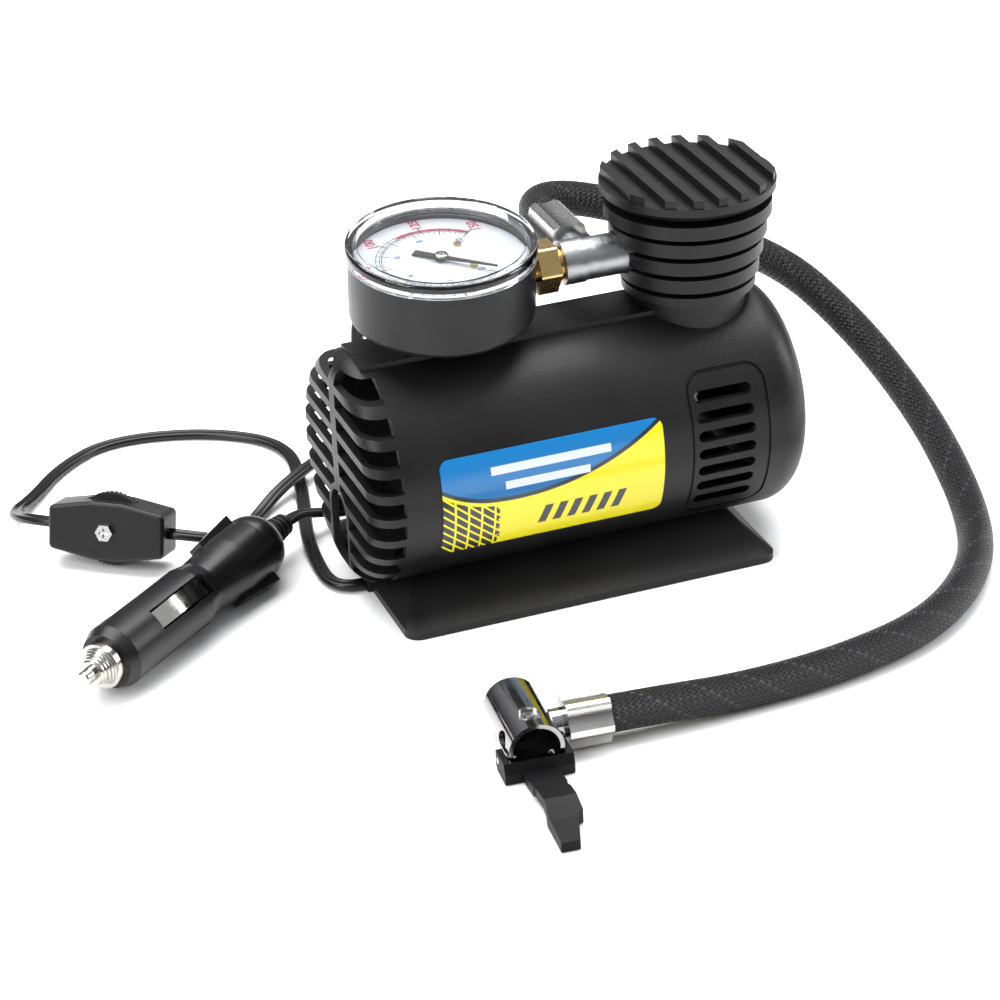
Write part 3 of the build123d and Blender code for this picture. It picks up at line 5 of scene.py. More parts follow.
import bmesh
import bpy
from mathutils import Matrix, Quaternion, Vector


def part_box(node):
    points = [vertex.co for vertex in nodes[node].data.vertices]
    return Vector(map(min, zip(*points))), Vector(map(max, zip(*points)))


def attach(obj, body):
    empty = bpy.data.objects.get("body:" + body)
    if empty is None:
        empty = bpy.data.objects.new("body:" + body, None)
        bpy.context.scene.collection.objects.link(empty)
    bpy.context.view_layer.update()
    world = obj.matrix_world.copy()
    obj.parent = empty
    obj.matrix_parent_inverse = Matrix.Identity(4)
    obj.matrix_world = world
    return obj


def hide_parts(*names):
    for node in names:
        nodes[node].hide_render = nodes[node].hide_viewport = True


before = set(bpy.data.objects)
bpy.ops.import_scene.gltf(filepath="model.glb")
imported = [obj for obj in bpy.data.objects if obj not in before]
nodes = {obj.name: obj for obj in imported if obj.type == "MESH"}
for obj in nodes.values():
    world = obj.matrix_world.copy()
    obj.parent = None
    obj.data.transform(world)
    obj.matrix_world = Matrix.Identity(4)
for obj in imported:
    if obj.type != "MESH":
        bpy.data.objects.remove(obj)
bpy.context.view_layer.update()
MM = 0.001


def mm(x, y, z):
    return Vector((x, y, z)) * MM


# ---------------------------------------------------------------- camera and light
TARGET = mm(-20.3, 0, 20.5)
CAMERA_AT = mm(-324.8, -839.1, 501.3)
ROLL = math.radians(-2.19)

camera = bpy.data.objects.new("camera", bpy.data.cameras.new("camera"))
camera.data.lens = 112.44
camera.data.sensor_width = 36
camera.data.clip_start = 0.05
camera.data.clip_end = 20
camera.location = CAMERA_AT
camera.rotation_mode = "QUATERNION"
facing = (TARGET - CAMERA_AT).to_track_quat("-Z", "Y")
camera.rotation_quaternion = facing @ Quaternion((0, 0, 1), ROLL)
bpy.context.scene.collection.objects.link(camera)
bpy.context.scene.camera = camera
bpy.context.scene.view_settings.view_transform = "Standard"
bpy.context.scene.view_settings.look = "None"


def area_light(name, at, towards, size, power):
    data = bpy.data.lights.new(name, "AREA")
    data.shape = "RECTANGLE"
    data.size, data.size_y = size
    data.energy = power
    light = bpy.data.objects.new(name, data)
    light.location = at
    light.rotation_mode = "QUATERNION"
    light.rotation_quaternion = (Vector(towards) - Vector(at)).to_track_quat("-Z", "Y")
    bpy.context.scene.collection.objects.link(light)


area_light("overhead_softbox", (0.05, 0.35, 1.2), (0, 0, 0.02), (1.5, 1.0), 34)
area_light("left_softbox", (-1.1, -0.35, 0.8), (0, 0, 0.02), (0.7, 0.8), 13)
area_light("right_strip", (1.1, -0.3, 0.6), (0, 0, 0.02), (0.35, 0.8), 8)

world = bpy.data.worlds.new("studio")
world.use_nodes = True
sky = world.node_tree.nodes["Background"]
sky.inputs["Strength"].default_value = 1.0
sky_coords = world.node_tree.nodes.new("ShaderNodeTexCoord")
sky_split = world.node_tree.nodes.new("ShaderNodeSeparateXYZ")
sky_ramp = world.node_tree.nodes.new("ShaderNodeValToRGB")
world.node_tree.links.new(sky_coords.outputs["Generated"], sky_split.inputs[0])
world.node_tree.links.new(sky_split.outputs[2], sky_ramp.inputs[0])
world.node_tree.links.new(sky_ramp.outputs[0], sky.inputs["Color"])
sky_ramp.color_ramp.elements[0].position = 0.12
sky_ramp.color_ramp.elements[0].color = (0.10, 0.10, 0.105, 1)
sky_ramp.color_ramp.elements[1].position = 0.8
sky_ramp.color_ramp.elements[1].color = (0.75, 0.76, 0.78, 1)
bpy.context.scene.world = world


# ---------------------------------------------------------------- node material helpers
class Shader:
    """A Principled material with short calls for the nodes that feed it."""

    def __init__(self, name, colour, roughness, metallic=0.0):
        self.material = bpy.data.materials.new(name)
        self.material.use_nodes = True
        self.tree = self.material.node_tree
        self.out = self.tree.nodes["Principled BSDF"]
        self.set("Base Color", (*colour, 1))
        self.set("Roughness", roughness)
        self.set("Metallic", metallic)
        self.coords = self.tree.nodes.new("ShaderNodeTexCoord")

    def set(self, socket, value):
        self.out.inputs[socket].default_value = value

    def link(self, source, target):
        self.tree.links.new(source, target)

    def feed(self, socket, value):
        if hasattr(value, "is_output"):
            self.link(value, socket)
        else:
            socket.default_value = value

    def math(self, operation, first, second=0.0, third=0.0):
        node = self.tree.nodes.new("ShaderNodeMath")
        node.operation = operation
        for socket, value in zip(node.inputs, (first, second, third)):
            self.feed(socket, value)
        return node.outputs[0]

    def split(self, vector):
        node = self.tree.nodes.new("ShaderNodeSeparateXYZ")
        self.link(vector, node.inputs[0])
        return node.outputs[0], node.outputs[1], node.outputs[2]

    def noise(self, scale, detail=3.0, vector=None):
        node = self.tree.nodes.new("ShaderNodeTexNoise")
        self.link(vector or self.coords.outputs["Object"], node.inputs["Vector"])
        node.inputs["Scale"].default_value = scale
        node.inputs["Detail"].default_value = detail
        return node.outputs["Fac"]

    def ramp(self, value, low, high, to_low, to_high):
        node = self.tree.nodes.new("ShaderNodeMapRange")
        self.feed(node.inputs["Value"], value)
        for socket, number in zip(list(node.inputs)[1:5], (low, high, to_low, to_high)):
            socket.default_value = number
        return node.outputs["Result"]

    def mix(self, share, first, second):
        node = self.tree.nodes.new("ShaderNodeMix")
        node.data_type = "RGBA"
        self.feed(node.inputs["Factor"], share)
        self.feed(node.inputs[6], first)
        self.feed(node.inputs[7], second)
        return node.outputs[2]

    def bump(self, height, distance, strength=1.0):
        node = self.tree.nodes.new("ShaderNodeBump")
        self.link(height, node.inputs["Height"])
        node.inputs["Distance"].default_value = distance
        node.inputs["Strength"].default_value = strength
        self.link(node.outputs["Normal"], self.out.inputs["Normal"])


def rgba(colour):
    return (*colour, 1.0)


def plastic(name, colour, roughness, grain=1600.0, depth=0.00005, dust=0.25, sheen=0.32):
    """Moulded plastic: fine grain in the surface and an uneven sheen."""
    s = Shader(name, colour, roughness)
    s.set("Specular IOR Level", sheen)
    patches = s.noise(35.0, 5.0)
    light = tuple(min(1.0, c * (1 + dust)) for c in colour)
    s.link(s.mix(s.ramp(patches, 0.35, 0.75, 0, 1), rgba(colour), rgba(light)), s.out.inputs["Base Color"])
    s.link(s.ramp(patches, 0.3, 0.7, roughness - 0.05, roughness + 0.07), s.out.inputs["Roughness"])
    s.bump(s.noise(grain, 2.0), depth)
    return s.material


def metal(name, colour, roughness, stretch=(1, 1, 1), scale=400.0, depth=0.00002):
    """Bare or plated metal with fine tool marks along one axis."""
    s = Shader(name, colour, roughness, 1.0)
    mapping = s.tree.nodes.new("ShaderNodeMapping")
    s.link(s.coords.outputs["Object"], mapping.inputs["Vector"])
    mapping.inputs["Scale"].default_value = stretch
    marks = s.noise(scale, 4.0, mapping.outputs["Vector"])
    s.link(s.ramp(marks, 0.3, 0.7, max(0.03, roughness - 0.06), roughness + 0.08), s.out.inputs["Roughness"])
    dark = tuple(c * 0.82 for c in colour)
    patches = s.ramp(s.noise(90.0, 3.0), 0.35, 0.7, 0, 1)
    s.link(s.mix(patches, rgba(dark), rgba(colour)), s.out.inputs["Base Color"])
    s.bump(marks, depth)
    return s.material


def clear(name, roughness=0.02, ior=1.49):
    s = Shader(name, (0.97, 0.985, 1.0), roughness)
    s.set("Transmission Weight", 1.0)
    s.set("IOR", ior)
    s.bump(s.noise(60.0, 1.0), 0.00002)
    return s.material


# ---------------------------------------------------------------- cords and hose
def spline_points(name, route, resolution=10):
    """Points read from the NURBS spline that has the route's points as its control points."""
    data = bpy.data.curves.new(name, "CURVE")
    data.dimensions = "3D"
    spline = data.splines.new("NURBS")
    spline.points.add(len(route) - 1)
    for point, place in zip(spline.points, route):
        point.co = (*place, 1)
    spline.order_u = 3
    spline.use_endpoint_u = True
    spline.resolution_u = resolution
    data.resolution_u = resolution
    line = bpy.data.objects.new(name, data)
    bpy.context.scene.collection.objects.link(line)
    bpy.context.view_layer.update()
    mesh = bpy.data.meshes.new_from_object(line)
    points = [v.co.copy() for v in mesh.vertices]
    bpy.data.meshes.remove(mesh)
    bpy.data.objects.remove(line)
    bpy.data.curves.remove(data)
    return points


def tube(name, points, section, material):
    """A tube round the points; section is (sideways, upwards) in metres and UVs are (turn, metres)."""
    mesh = bpy.data.meshes.new(name)
    bm = bmesh.new()
    uv = bm.loops.layers.uv.new("UVMap")
    rings = []
    along = [0.0]
    side = None
    for i, point in enumerate(points):
        ahead = (points[min(i + 1, len(points) - 1)] - points[max(i - 1, 0)]).normalized()
        level = ahead.cross(Vector((0, 0, 1)))
        if side is None or level.length > 0.35:
            fresh = level.normalized()
            side = fresh if side is None else side.lerp(fresh, 0.35)
        side = (side - ahead * side.dot(ahead)).normalized()
        up = side.cross(ahead).normalized()
        rings.append([bm.verts.new(point + side * a + up * b) for a, b in section])
        if i:
            along.append(along[-1] + (point - points[i - 1]).length)
    count = len(section)
    for i in range(len(rings) - 1):
        for k in range(count):
            n = (k + 1) % count
            face = bm.faces.new((rings[i][k], rings[i][n], rings[i + 1][n], rings[i + 1][k]))
            face.smooth = True
            corners = ((k, i), (k + 1, i), (k + 1, i + 1), (k, i + 1))
            for loop, (turn, ring) in zip(face.loops, corners):
                loop[uv].uv = (turn / count, along[ring])
    bm.faces.new(list(reversed(rings[0])))
    bm.faces.new(rings[-1])
    bmesh.ops.recalc_face_normals(bm, faces=bm.faces)
    bm.to_mesh(mesh)
    bm.free()
    mesh.materials.append(material)
    piece = bpy.data.objects.new(name, mesh)
    bpy.context.scene.collection.objects.link(piece)
    return piece


def round_section(radius, count=32):
    turns = [2 * math.pi * k / count for k in range(count)]
    return [(radius * math.cos(turn), radius * math.sin(turn)) for turn in turns]


def twin_section(half_width, radius, count=28):
    """Two round cores side by side with a groove between them."""
    core = half_width - radius
    outline = []
    for k in range(count):
        turn = 2 * math.pi * k / count
        across = half_width * math.cos(turn)
        if abs(across) > core:
            height = math.sqrt(max(0.0, radius**2 - (abs(across) - core) ** 2))
        else:
            height = radius * (0.68 + 0.32 * (across / core) ** 2)
        outline.append((across, math.copysign(height, math.sin(turn))))
    return outline


def braid_material():
    """Woven cover: two families of yarns that pass over and under, with a lighter tracer yarn and painted
    shade in the gaps between yarns.
    """
    s = Shader("braided_cover", (0.012, 0.012, 0.013), 0.5)
    turn, along, _ = s.split(s.coords.outputs["UV"])
    yarns = 24.0
    pitch = 0.0021
    climb = s.math("DIVIDE", along, pitch)
    first = s.math("MULTIPLY_ADD", turn, yarns, climb)
    second = s.math("MULTIPLY_ADD", turn, -yarns, climb)
    over = s.math("PINGPONG", s.math("ADD", s.math("FLOOR", first), s.math("FLOOR", second)), 1.0)
    first_round = s.math("SINE", s.math("MULTIPLY", s.math("FRACT", first), math.pi))
    second_round = s.math("SINE", s.math("MULTIPLY", s.math("FRACT", second), math.pi))
    fine = s.math("ABSOLUTE", s.math("SINE", s.math("MULTIPLY", first, 4 * math.pi)))
    fine_second = s.math("ABSOLUTE", s.math("SINE", s.math("MULTIPLY", second, 4 * math.pi)))
    first_yarn = s.math("MULTIPLY_ADD", fine_second, 0.12, first_round)
    second_yarn = s.math("MULTIPLY_ADD", fine, 0.12, second_round)
    pick = s.tree.nodes.new("ShaderNodeMix")
    s.link(over, pick.inputs["Factor"])
    s.link(first_yarn, pick.inputs["A"])
    s.link(second_yarn, pick.inputs["B"])
    height = pick.outputs[0]
    tracer = s.math("LESS_THAN", s.math("MODULO", s.math("FLOOR", s.math("ADD", first, 480.0)), 8.0), 0.5)
    shown = s.math("MULTIPLY", tracer, s.math("SUBTRACT", 1.0, over))
    # painted shade: the yarn colour darkens from each yarn's crown down into the gaps between yarns
    dark = s.mix(s.ramp(height, 0.2, 1.0, 0, 1), rgba((0.0006, 0.0006, 0.0006)), rgba((0.014, 0.014, 0.0155)))
    s.link(s.mix(s.math("MULTIPLY", shown, 0.5), dark, rgba((0.07, 0.07, 0.075))), s.out.inputs["Base Color"])
    s.link(s.ramp(height, 0.0, 1.0, 0.6, 0.33), s.out.inputs["Roughness"])
    s.set("Specular IOR Level", 0.28)
    s.bump(height, 0.0006)
    return s.material


HOSE_RADIUS = 5.75 * MM
chuck_side = Vector((0.9963, -0.086, 0)).normalized()
hose_end = mm(-57.6, -126.0, 8.5) + mm(0.086, 0.9963, 0) * 12.0 + chuck_side * (25.0 * MM)
HOSE_ROUTE = [
    mm(9.6, 29.5, 100.8),
    mm(9.6, 44.5, 100.8),
    mm(22.5, 53.0, 99.6),
    mm(46.0, 50.0, 92.5),
    mm(72.0, 46.0, 80.0),
    mm(101.5, 41.5, 64.5),
    mm(118.5, 28.0, 46.0),
    mm(126.0, 5.0, 32.5),
    mm(128.5, -22.0, 20.0),
    mm(125.5, -53.0, 6.2),
    mm(109.5, -82.0, 6.0),
    mm(82.0, -105.0, 5.85),
    mm(46.0, -115.0, 5.9),
    mm(12.0, -117.0, 5.85),
    hose_end + chuck_side * (17.0 * MM),
    hose_end,
]
hose_points = spline_points("hose_route", HOSE_ROUTE, 24)
hose = tube("braided_hose", hose_points, round_section(HOSE_RADIUS, 40), braid_material())
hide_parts("air_hose")
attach(hose, "housing")
chuck_pieces = ["hose_ferrule_chuck", "chuck_barrel", "chuck_seal", "valve_depressor", "locking_pin"]
chuck_pieces += ["chuck_lever", "lever_pins"]

cord_vinyl = plastic("cord_vinyl", (0.003, 0.003, 0.0035), 0.3, grain=900.0, depth=0.00002)
CORD_WIDE = 4.8 * MM
CORD_THICK = 2.6 * MM
LOW = 1.45
cord_section = twin_section(CORD_WIDE / 2, CORD_THICK / 2)

switch_axis = Vector((0.81, -0.5864, 0)).normalized()
switch_centre = mm(-137.8, 48.9, 12.5)
switch_in = switch_centre - switch_axis * (20 * MM)
switch_out = switch_centre + switch_axis * (20 * MM)
plug_axis = Vector((0.779, 0.627, 0)).normalized()
plug_point = mm(-170.3, -39.5, 12.0)
relief_end = plug_point + plug_axis * (110 * MM)

FIRST_ROUTE = [
    mm(-68.5, -2.5, 2.2),
    mm(-74.0, -2.5, 2.2),
    mm(-78.5, 3.5, 1.8),
    mm(-78.5, 15.0, LOW),
    mm(-76.0, 36.0, LOW),
    mm(-67.0, 68.0, LOW),
    mm(-61.0, 103.0, LOW),
    mm(-84.0, 124.0, LOW),
    mm(-118.0, 132.0, LOW),
    mm(-139.0, 119.0, LOW),
    mm(-153.5, 99.0, 2.4),
    mm(-164.0, 85.0, 5.5),
    switch_in - switch_axis * (9 * MM),
    switch_in,
]
first_points = spline_points("first_route", FIRST_ROUTE, 14)
first_cord = tube("cord_to_switch", first_points, cord_section, cord_vinyl)
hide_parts("power_cord_to_switch")
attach(first_cord, "housing")

COIL_CENTRE = mm(41.0, 95.0, 0)
COIL_START = math.radians(160)
RING_RADII = [33.1, 28.2, 23.3]
LAYERS = 4
LAYER_RISE = 2.9
POINTS_PER_TURN = 16


def coil_points():
    """Neat flat layers, wound in and out in turn, each ring stepping to the next over its last third."""
    rings = []
    for layer in range(LAYERS):
        radii = RING_RADII if layer % 2 == 0 else RING_RADII[::-1]
        rings += [(r, LOW + 0.2 + LAYER_RISE * layer) for r in radii]
    points = []
    for number, (radius, height) in enumerate(rings):
        next_radius, next_height = rings[min(number + 1, len(rings) - 1)]
        for k in range(POINTS_PER_TURN):
            part = k / POINTS_PER_TURN
            step = max(0.0, (part - 0.66) / 0.34)
            step = step * step * (3 - 2 * step)
            r = (radius + (next_radius - radius) * step) * MM
            z = (height + (next_height - height) * step) * MM
            turn = COIL_START + 2 * math.pi * part
            points.append(COIL_CENTRE + Vector((r * math.cos(turn), r * math.sin(turn), z)))
    return points


SECOND_ROUTE = (
    [
        switch_out,
        switch_out + switch_axis * (9 * MM),
        mm(-103.5, 34.0, 7.5),
        mm(-95.5, 45.0, 3.0),
        mm(-87.0, 56.0, LOW),
        mm(-75.0, 66.0, 5.6),
        mm(-52.0, 84.0, 5.6),
        mm(-37.0, 101.0, LOW),
        mm(-22.0, 134.0, LOW),
        mm(-12.0, 175.0, LOW),
        mm(0.0, 203.0, LOW),
        mm(22.0, 203.0, LOW),
        mm(35.0, 184.0, LOW),
        mm(30.0, 160.0, LOW),
        mm(22.0, 138.0, LOW),
        mm(12.5, 119.0, LOW),
    ]
    + coil_points()
    + [
        mm(9.0, 90.0, 10.2),
        mm(8.0, 76.0, 7.5),
        mm(-1.0, 65.0, 3.5),
        mm(-17.0, 57.0, LOW),
        mm(-38.0, 50.0, LOW),
        mm(-60.0, 44.0, 3.0),
        mm(-72.0, 38.5, 8.5),
        relief_end + plug_axis * (6 * MM),
        relief_end,
    ]
)
second_points = spline_points("second_route", SECOND_ROUTE, 8)
second_cord = tube("cord_to_plug", second_points, cord_section, cord_vinyl)
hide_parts("power_cord_to_coil", "power_cord_coil", "power_cord_to_plug")
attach(second_cord, "housing")
plug_pieces = ["plug_tip", "plug_ring", "plug_shell_upper", "plug_shell_lower", "plug_fuse"]
plug_pieces += ["plug_contact_upper", "plug_contact_lower", "plug_strain_relief"]


# ---------------------------------------------------------------- label
def label_material():
    """Printed film: blue over yellow along a dark swoosh, with plain tread bars and slanted stripes."""
    low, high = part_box("rating_label")
    s = Shader("label_film", (1, 0.9, 0.05), 0.3)
    x, _, z = s.split(s.coords.outputs["Object"])
    u = s.ramp(x, low.x, high.x, 0, 1)
    v = s.ramp(z, low.z, high.z, 0, 1)
    from_dip = s.math("SUBTRACT", u, 0.33)
    border = s.math("MULTIPLY_ADD", s.math("MULTIPLY", from_dip, from_dip), 1.07, 0.52)
    left = s.math("MAXIMUM", s.math("SUBTRACT", 0.22, u), 0.0)
    border = s.math("MULTIPLY_ADD", s.math("MULTIPLY", left, left), 1.5, border)
    above = s.math("SUBTRACT", v, border)
    shade = s.mix(v, rgba((0.0, 0.09, 0.27)), rgba((0.002, 0.17, 0.46)))
    colour = s.mix(s.math("GREATER_THAN", above, 0.0), rgba((0.80, 0.70, 0.008)), shade)
    line = s.math("LESS_THAN", s.math("ABSOLUTE", above), 0.022)
    colour = s.mix(line, colour, rgba((0.01, 0.02, 0.03)))
    # tread bars at the left
    column = s.math("FRACT", s.math("MULTIPLY", u, 17.0))
    bars = s.math("FRACT", s.math("MULTIPLY_ADD", v, 11.0, s.math("MULTIPLY", u, 21.0)))
    tread = s.math("MULTIPLY", s.math("GREATER_THAN", bars, 0.28), s.math("LESS_THAN", column, 0.84))
    ragged = s.math("MULTIPLY_ADD", s.noise(900.0), 0.05, u)
    tread = s.math("MULTIPLY", tread, s.math("LESS_THAN", ragged, 0.275))
    tread = s.math("MULTIPLY", tread, s.math("LESS_THAN", above, -0.06))
    colour = s.mix(tread, colour, rgba((0.012, 0.012, 0.012)))
    # slanted stripes on the yellow
    slant = s.math("SUBTRACT", u, s.math("MULTIPLY", v, 0.16))
    stripes = s.math("LESS_THAN", s.math("FRACT", s.math("MULTIPLY", slant, 15.0)), 0.55)
    for low_edge, high_edge, value in ((0.40, 0.80, slant), (0.16, 0.36, v)):
        stripes = s.math("MULTIPLY", stripes, s.math("GREATER_THAN", value, low_edge))
        stripes = s.math("MULTIPLY", stripes, s.math("LESS_THAN", value, high_edge))
    colour = s.mix(stripes, colour, rgba((0.015, 0.015, 0.015)))
    for bar_low, bar_high, bar_start, bar_end in ((0.78, 0.86, 0.22, 0.76), (0.62, 0.70, 0.28, 0.66)):
        bar = s.math("MULTIPLY", s.math("GREATER_THAN", v, bar_low), s.math("LESS_THAN", v, bar_high))
        bar = s.math("MULTIPLY", bar, s.math("GREATER_THAN", u, bar_start))
        bar = s.math("MULTIPLY", bar, s.math("LESS_THAN", u, bar_end))
        colour = s.mix(bar, colour, rgba((0.62, 0.68, 0.72)))
    s.link(colour, s.out.inputs["Base Color"])
    s.set("Coat Weight", 0.35)
    s.bump(s.noise(1500.0), 0.00002)
    return s.material


# ---------------------------------------------------------------- dial markings
GAUGE_TILT = math.radians(5)
GAUGE = Matrix.Translation(mm(-36.8, 0, 100.0)) @ Matrix.Rotation(GAUGE_TILT, 4, "X")
DIAL_FACE = 8.24 * MM
SWEEP = math.radians(270)
FIRST = math.radians(-45)


def on_dial(radius, angle):
    reach = radius * MM
    return GAUGE @ Vector((reach * math.cos(angle), reach * math.sin(angle), DIAL_FACE))


def scale_angle(share):
    return FIRST - SWEEP * share


def marks_mesh(name, bars, arcs, material):
    """Printed ink: bars are (radius in, radius out, share, width); arcs are (radius, width, start, end)."""
    bm = bmesh.new()
    for inner, outer, share, width in bars:
        angle = scale_angle(share)
        corners = [(inner, -1), (outer, -1), (outer, 1), (inner, 1)]
        bm.faces.new([bm.verts.new(on_dial(r, angle + side * width / 2 / r)) for r, side in corners])
    for radius, width, start, end in arcs:
        steps = max(4, int(abs(end - start) * 90))
        rows = []
        for k in range(steps + 1):
            angle = scale_angle(start + (end - start) * k / steps)
            rows.append([bm.verts.new(on_dial(radius + side * width / 2, angle)) for side in (-1, 1)])
        for a, b in zip(rows, rows[1:]):
            bm.faces.new((a[0], a[1], b[1], b[0]))
    bmesh.ops.recalc_face_normals(bm, faces=bm.faces)
    mesh = bpy.data.meshes.new(name)
    bm.to_mesh(mesh)
    bm.free()
    mesh.materials.append(material)
    piece = bpy.data.objects.new(name, mesh)
    bpy.context.scene.collection.objects.link(piece)
    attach(piece, "housing")


def numbers_mesh(name, entries, size, radius, material):
    """Numbers on the dial, upright with the top of the dial towards -X."""
    bm = bmesh.new()
    for text, share in entries:
        data = bpy.data.curves.new("number", "FONT")
        data.body = text
        data.size = size * MM
        data.offset = 0.03 * size * MM
        data.align_x = "CENTER"
        data.align_y = "CENTER"
        made = bpy.data.objects.new("number", data)
        bpy.context.scene.collection.objects.link(made)
        bpy.context.view_layer.update()
        mesh = bpy.data.meshes.new_from_object(made)
        angle = scale_angle(share)
        at = Vector((radius * MM * math.cos(angle), radius * MM * math.sin(angle), DIAL_FACE))
        upright = Matrix.Rotation(math.radians(90), 4, "Z")
        mesh.transform(GAUGE @ Matrix.Translation(at) @ upright)
        bm.from_mesh(mesh)
        bpy.data.meshes.remove(mesh)
        bpy.data.objects.remove(made)
    mesh = bpy.data.meshes.new(name)
    bm.to_mesh(mesh)
    bm.free()
    mesh.materials.clear()
    mesh.materials.append(material)
    piece = bpy.data.objects.new(name, mesh)
    bpy.context.scene.collection.objects.link(piece)
    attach(piece, "housing")


def turned(name, outline, at, material, body, count=48):
    """A turned detail on the gauge axis: outline is (radius, height above at) in millimetres."""
    bm = bmesh.new()
    rings = []
    turns = [2 * math.pi * k / count for k in range(count)]
    for radius, height in outline:
        ring = [mm(radius * math.cos(turn), radius * math.sin(turn), at + height) for turn in turns]
        rings.append([bm.verts.new(GAUGE @ place) for place in ring])
    for lower, upper in zip(rings, rings[1:]):
        for k in range(count):
            n = (k + 1) % count
            face = bm.faces.new((lower[k], lower[n], upper[n], upper[k]))
            face.smooth = True
    bm.faces.new(list(reversed(rings[0])))
    bm.faces.new(rings[-1])
    bmesh.ops.recalc_face_normals(bm, faces=bm.faces)
    mesh = bpy.data.meshes.new(name)
    bm.to_mesh(mesh)
    bm.free()
    mesh.materials.append(material)
    piece = bpy.data.objects.new(name, mesh)
    bpy.context.scene.collection.objects.link(piece)
    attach(piece, body)


black_ink = plastic("black_ink", (0.01, 0.01, 0.01), 0.5, depth=0.000005)
red_ink = plastic("red_ink", (0.50, 0.03, 0.09), 0.5, depth=0.000005)
blue_ink = plastic("blue_ink", (0.05, 0.12, 0.35), 0.5, depth=0.000005)
FULL_SCALE = 150
outer_ticks = [(18.6, 22.4, n / 6, 0.42) for n in range(7)]
outer_ticks += [(18.6, 21.0, n / 30, 0.24) for n in range(31) if n % 5]
marks_mesh("dial_outer_scale", outer_ticks, [(20.4, 0.22, 0, 1), (19.2, 0.22, 0, 1)], black_ink)
marks_mesh("dial_red_zone", [], [(19.8, 1.1, 0.74, 1.0)], red_ink)
inner_ticks = [(16.2, 18.6, n / 10, 0.32) for n in range(11)]
inner_ticks += [(17.2, 18.6, n / 50, 0.2) for n in range(51) if n % 5]
marks_mesh("dial_inner_scale", inner_ticks, [(18.6, 0.25, 0, 1)], black_ink)
numbers_mesh("dial_outer_numbers", [(str(n), n / FULL_SCALE) for n in range(0, 151, 25)], 4.4, 24.4, red_ink)
numbers_mesh("dial_inner_numbers", [(str(n), n / 10) for n in range(0, 11, 2)], 3.0, 13.8, blue_ink)


# ---------------------------------------------------------------- materials on the CAD nodes
def dial_material():
    s = Shader("dial_enamel", (0.88, 0.89, 0.9), 0.35)
    tint = s.mix(s.noise(40.0), rgba((0.70, 0.71, 0.73)), rgba((0.76, 0.77, 0.79)))
    s.link(tint, s.out.inputs["Base Color"])
    s.bump(s.noise(900.0), 0.00001)
    return s.material


shell = plastic("shell_plastic", (0.0045, 0.0045, 0.005), 0.42, grain=1500.0, depth=0.00009)
gloss_black = plastic("moulded_black", (0.004, 0.004, 0.0045), 0.36, grain=1300.0, depth=0.00004)
lever_black = plastic("lever_black", (0.003, 0.003, 0.0035), 0.5, 1100.0, 0.00004, sheen=0.15)
rubber = plastic("black_rubber", (0.005, 0.005, 0.005), 0.55, grain=1100.0, depth=0.00008)
brass = metal("machined_brass", (0.66, 0.46, 0.20), 0.24, (1, 8, 8))
movement_brass = metal("movement_brass", (0.66, 0.46, 0.20), 0.24, (1, 8, 8))
copper = metal("bronze_thread", (0.72, 0.38, 0.16), 0.25, (8, 1, 1))
nickel = metal("nickel_plate", (0.50, 0.49, 0.46), 0.15)
ferrule = metal("crimped_steel", (0.50, 0.49, 0.475), 0.2, (1, 6, 6), depth=0.00003)
gunmetal = metal("gunmetal_plate", (0.34, 0.33, 0.335), 0.13, scale=200.0, depth=0.00001)
cast = metal("cast_zinc", (0.42, 0.43, 0.44), 0.34, scale=700.0, depth=0.0001)
steel = metal("plain_steel", (0.58, 0.58, 0.60), 0.28, (1, 6, 6))
plug_black = plastic("plug_black", (0.0035, 0.0035, 0.004), 0.3, 1300.0, 0.00004)
plated = metal("plated_screws", (0.62, 0.62, 0.61), 0.2)
pressed = metal("pressed_steel", (0.52, 0.52, 0.54), 0.32)
lens = clear("clear_lens")
fuse = clear("fuse_glass", 0.05, 1.5)
nylon = plastic("white_nylon", (0.82, 0.80, 0.73), 0.45)
ferrite = plastic("ferrite", (0.07, 0.07, 0.075), 0.6)
winding = metal("copper_winding", (0.70, 0.30, 0.12), 0.35, (1, 30, 1), depth=0.0001)

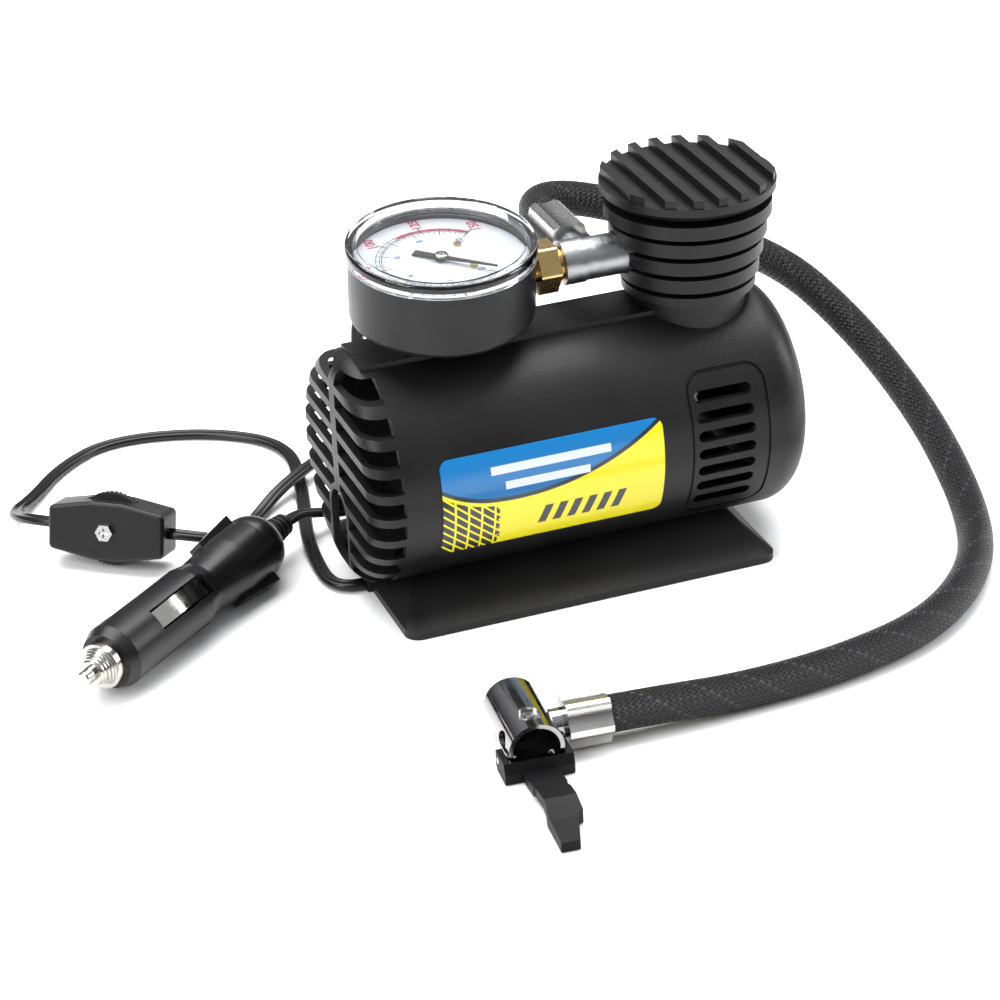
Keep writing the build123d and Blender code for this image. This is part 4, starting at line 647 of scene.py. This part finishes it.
LOOKS = {
    shell: ["front_shell", "back_shell"],
    label_material(): ["rating_label"],
    rubber: ["cord_grommet", "plug_strain_relief", "chuck_seal", "piston_seal"],
    gloss_black: ["gauge_case", "switch_front", "switch_back", "switch_wheel"],
    plug_black: ["plug_shell_upper", "plug_shell_lower"],
    lever_black: ["chuck_lever"],
    lens: ["gauge_lens"],
    dial_material(): ["gauge_dial"],
    black_ink: ["gauge_needle"],
    brass: ["gauge_stem", "dial_screws", "gear_bush", "motor_pinion"],
    movement_brass: ["gauge_movement_frame", "gauge_sector", "gauge_pinion"],
    copper: ["bourdon_tube", "valve_depressor"],
    cast: ["outlet_manifold", "cylinder_head", "pump_cylinder"],
    ferrule: ["hose_ferrule_pump", "hose_ferrule_chuck"],
    gunmetal: ["chuck_barrel"],
    nickel: ["plug_tip", "plug_ring", "plug_contact_upper", "plug_contact_lower"],
    plated: ["switch_screw", "locking_pin", "lever_pins"],
    steel: ["shell_screws", "motor_can", "motor_shaft", "gear_axle", "crank_pin"],
    pressed: ["gear_frame", "motor_screws", "valve_plate", "head_screws"],
    fuse: ["plug_fuse"],
    nylon: ["motor_end_cap", "drive_gear", "piston_rod"],
    ferrite: ["motor_magnets", "motor_brushes"],
    winding: ["motor_armature"],
}
for material, names in LOOKS.items():
    for name in names:
        for material_slot in nodes[name].material_slots:
            material_slot.material = material

hub = [(2.1, 0.0), (2.1, 0.7), (1.8, 0.95), (0.9, 1.05), (0.9, 1.25)]
turned("needle_hub", hub, 9.52, nickel, "gauge_pointer")

# ---------------------------------------------------------------- floor
floor_mesh = bpy.data.meshes.new("floor")
floor_mesh.from_pydata([(-6, -6, 0), (6, -6, 0), (6, 6, 0), (-6, 6, 0)], [], [(0, 1, 2, 3)])
floor_shader = Shader("floor_paper", (0.93, 0.93, 0.93), 0.7)
floor_shader.link(
    floor_shader.mix(floor_shader.noise(3.0), rgba((0.92, 0.92, 0.92)), rgba((0.94, 0.94, 0.94))),
    floor_shader.out.inputs["Base Color"],
)
floor_mesh.materials.append(floor_shader.material)
floor = bpy.data.objects.new("floor", floor_mesh)
bpy.context.scene.collection.objects.link(floor)

bpy.context.view_layer.update()
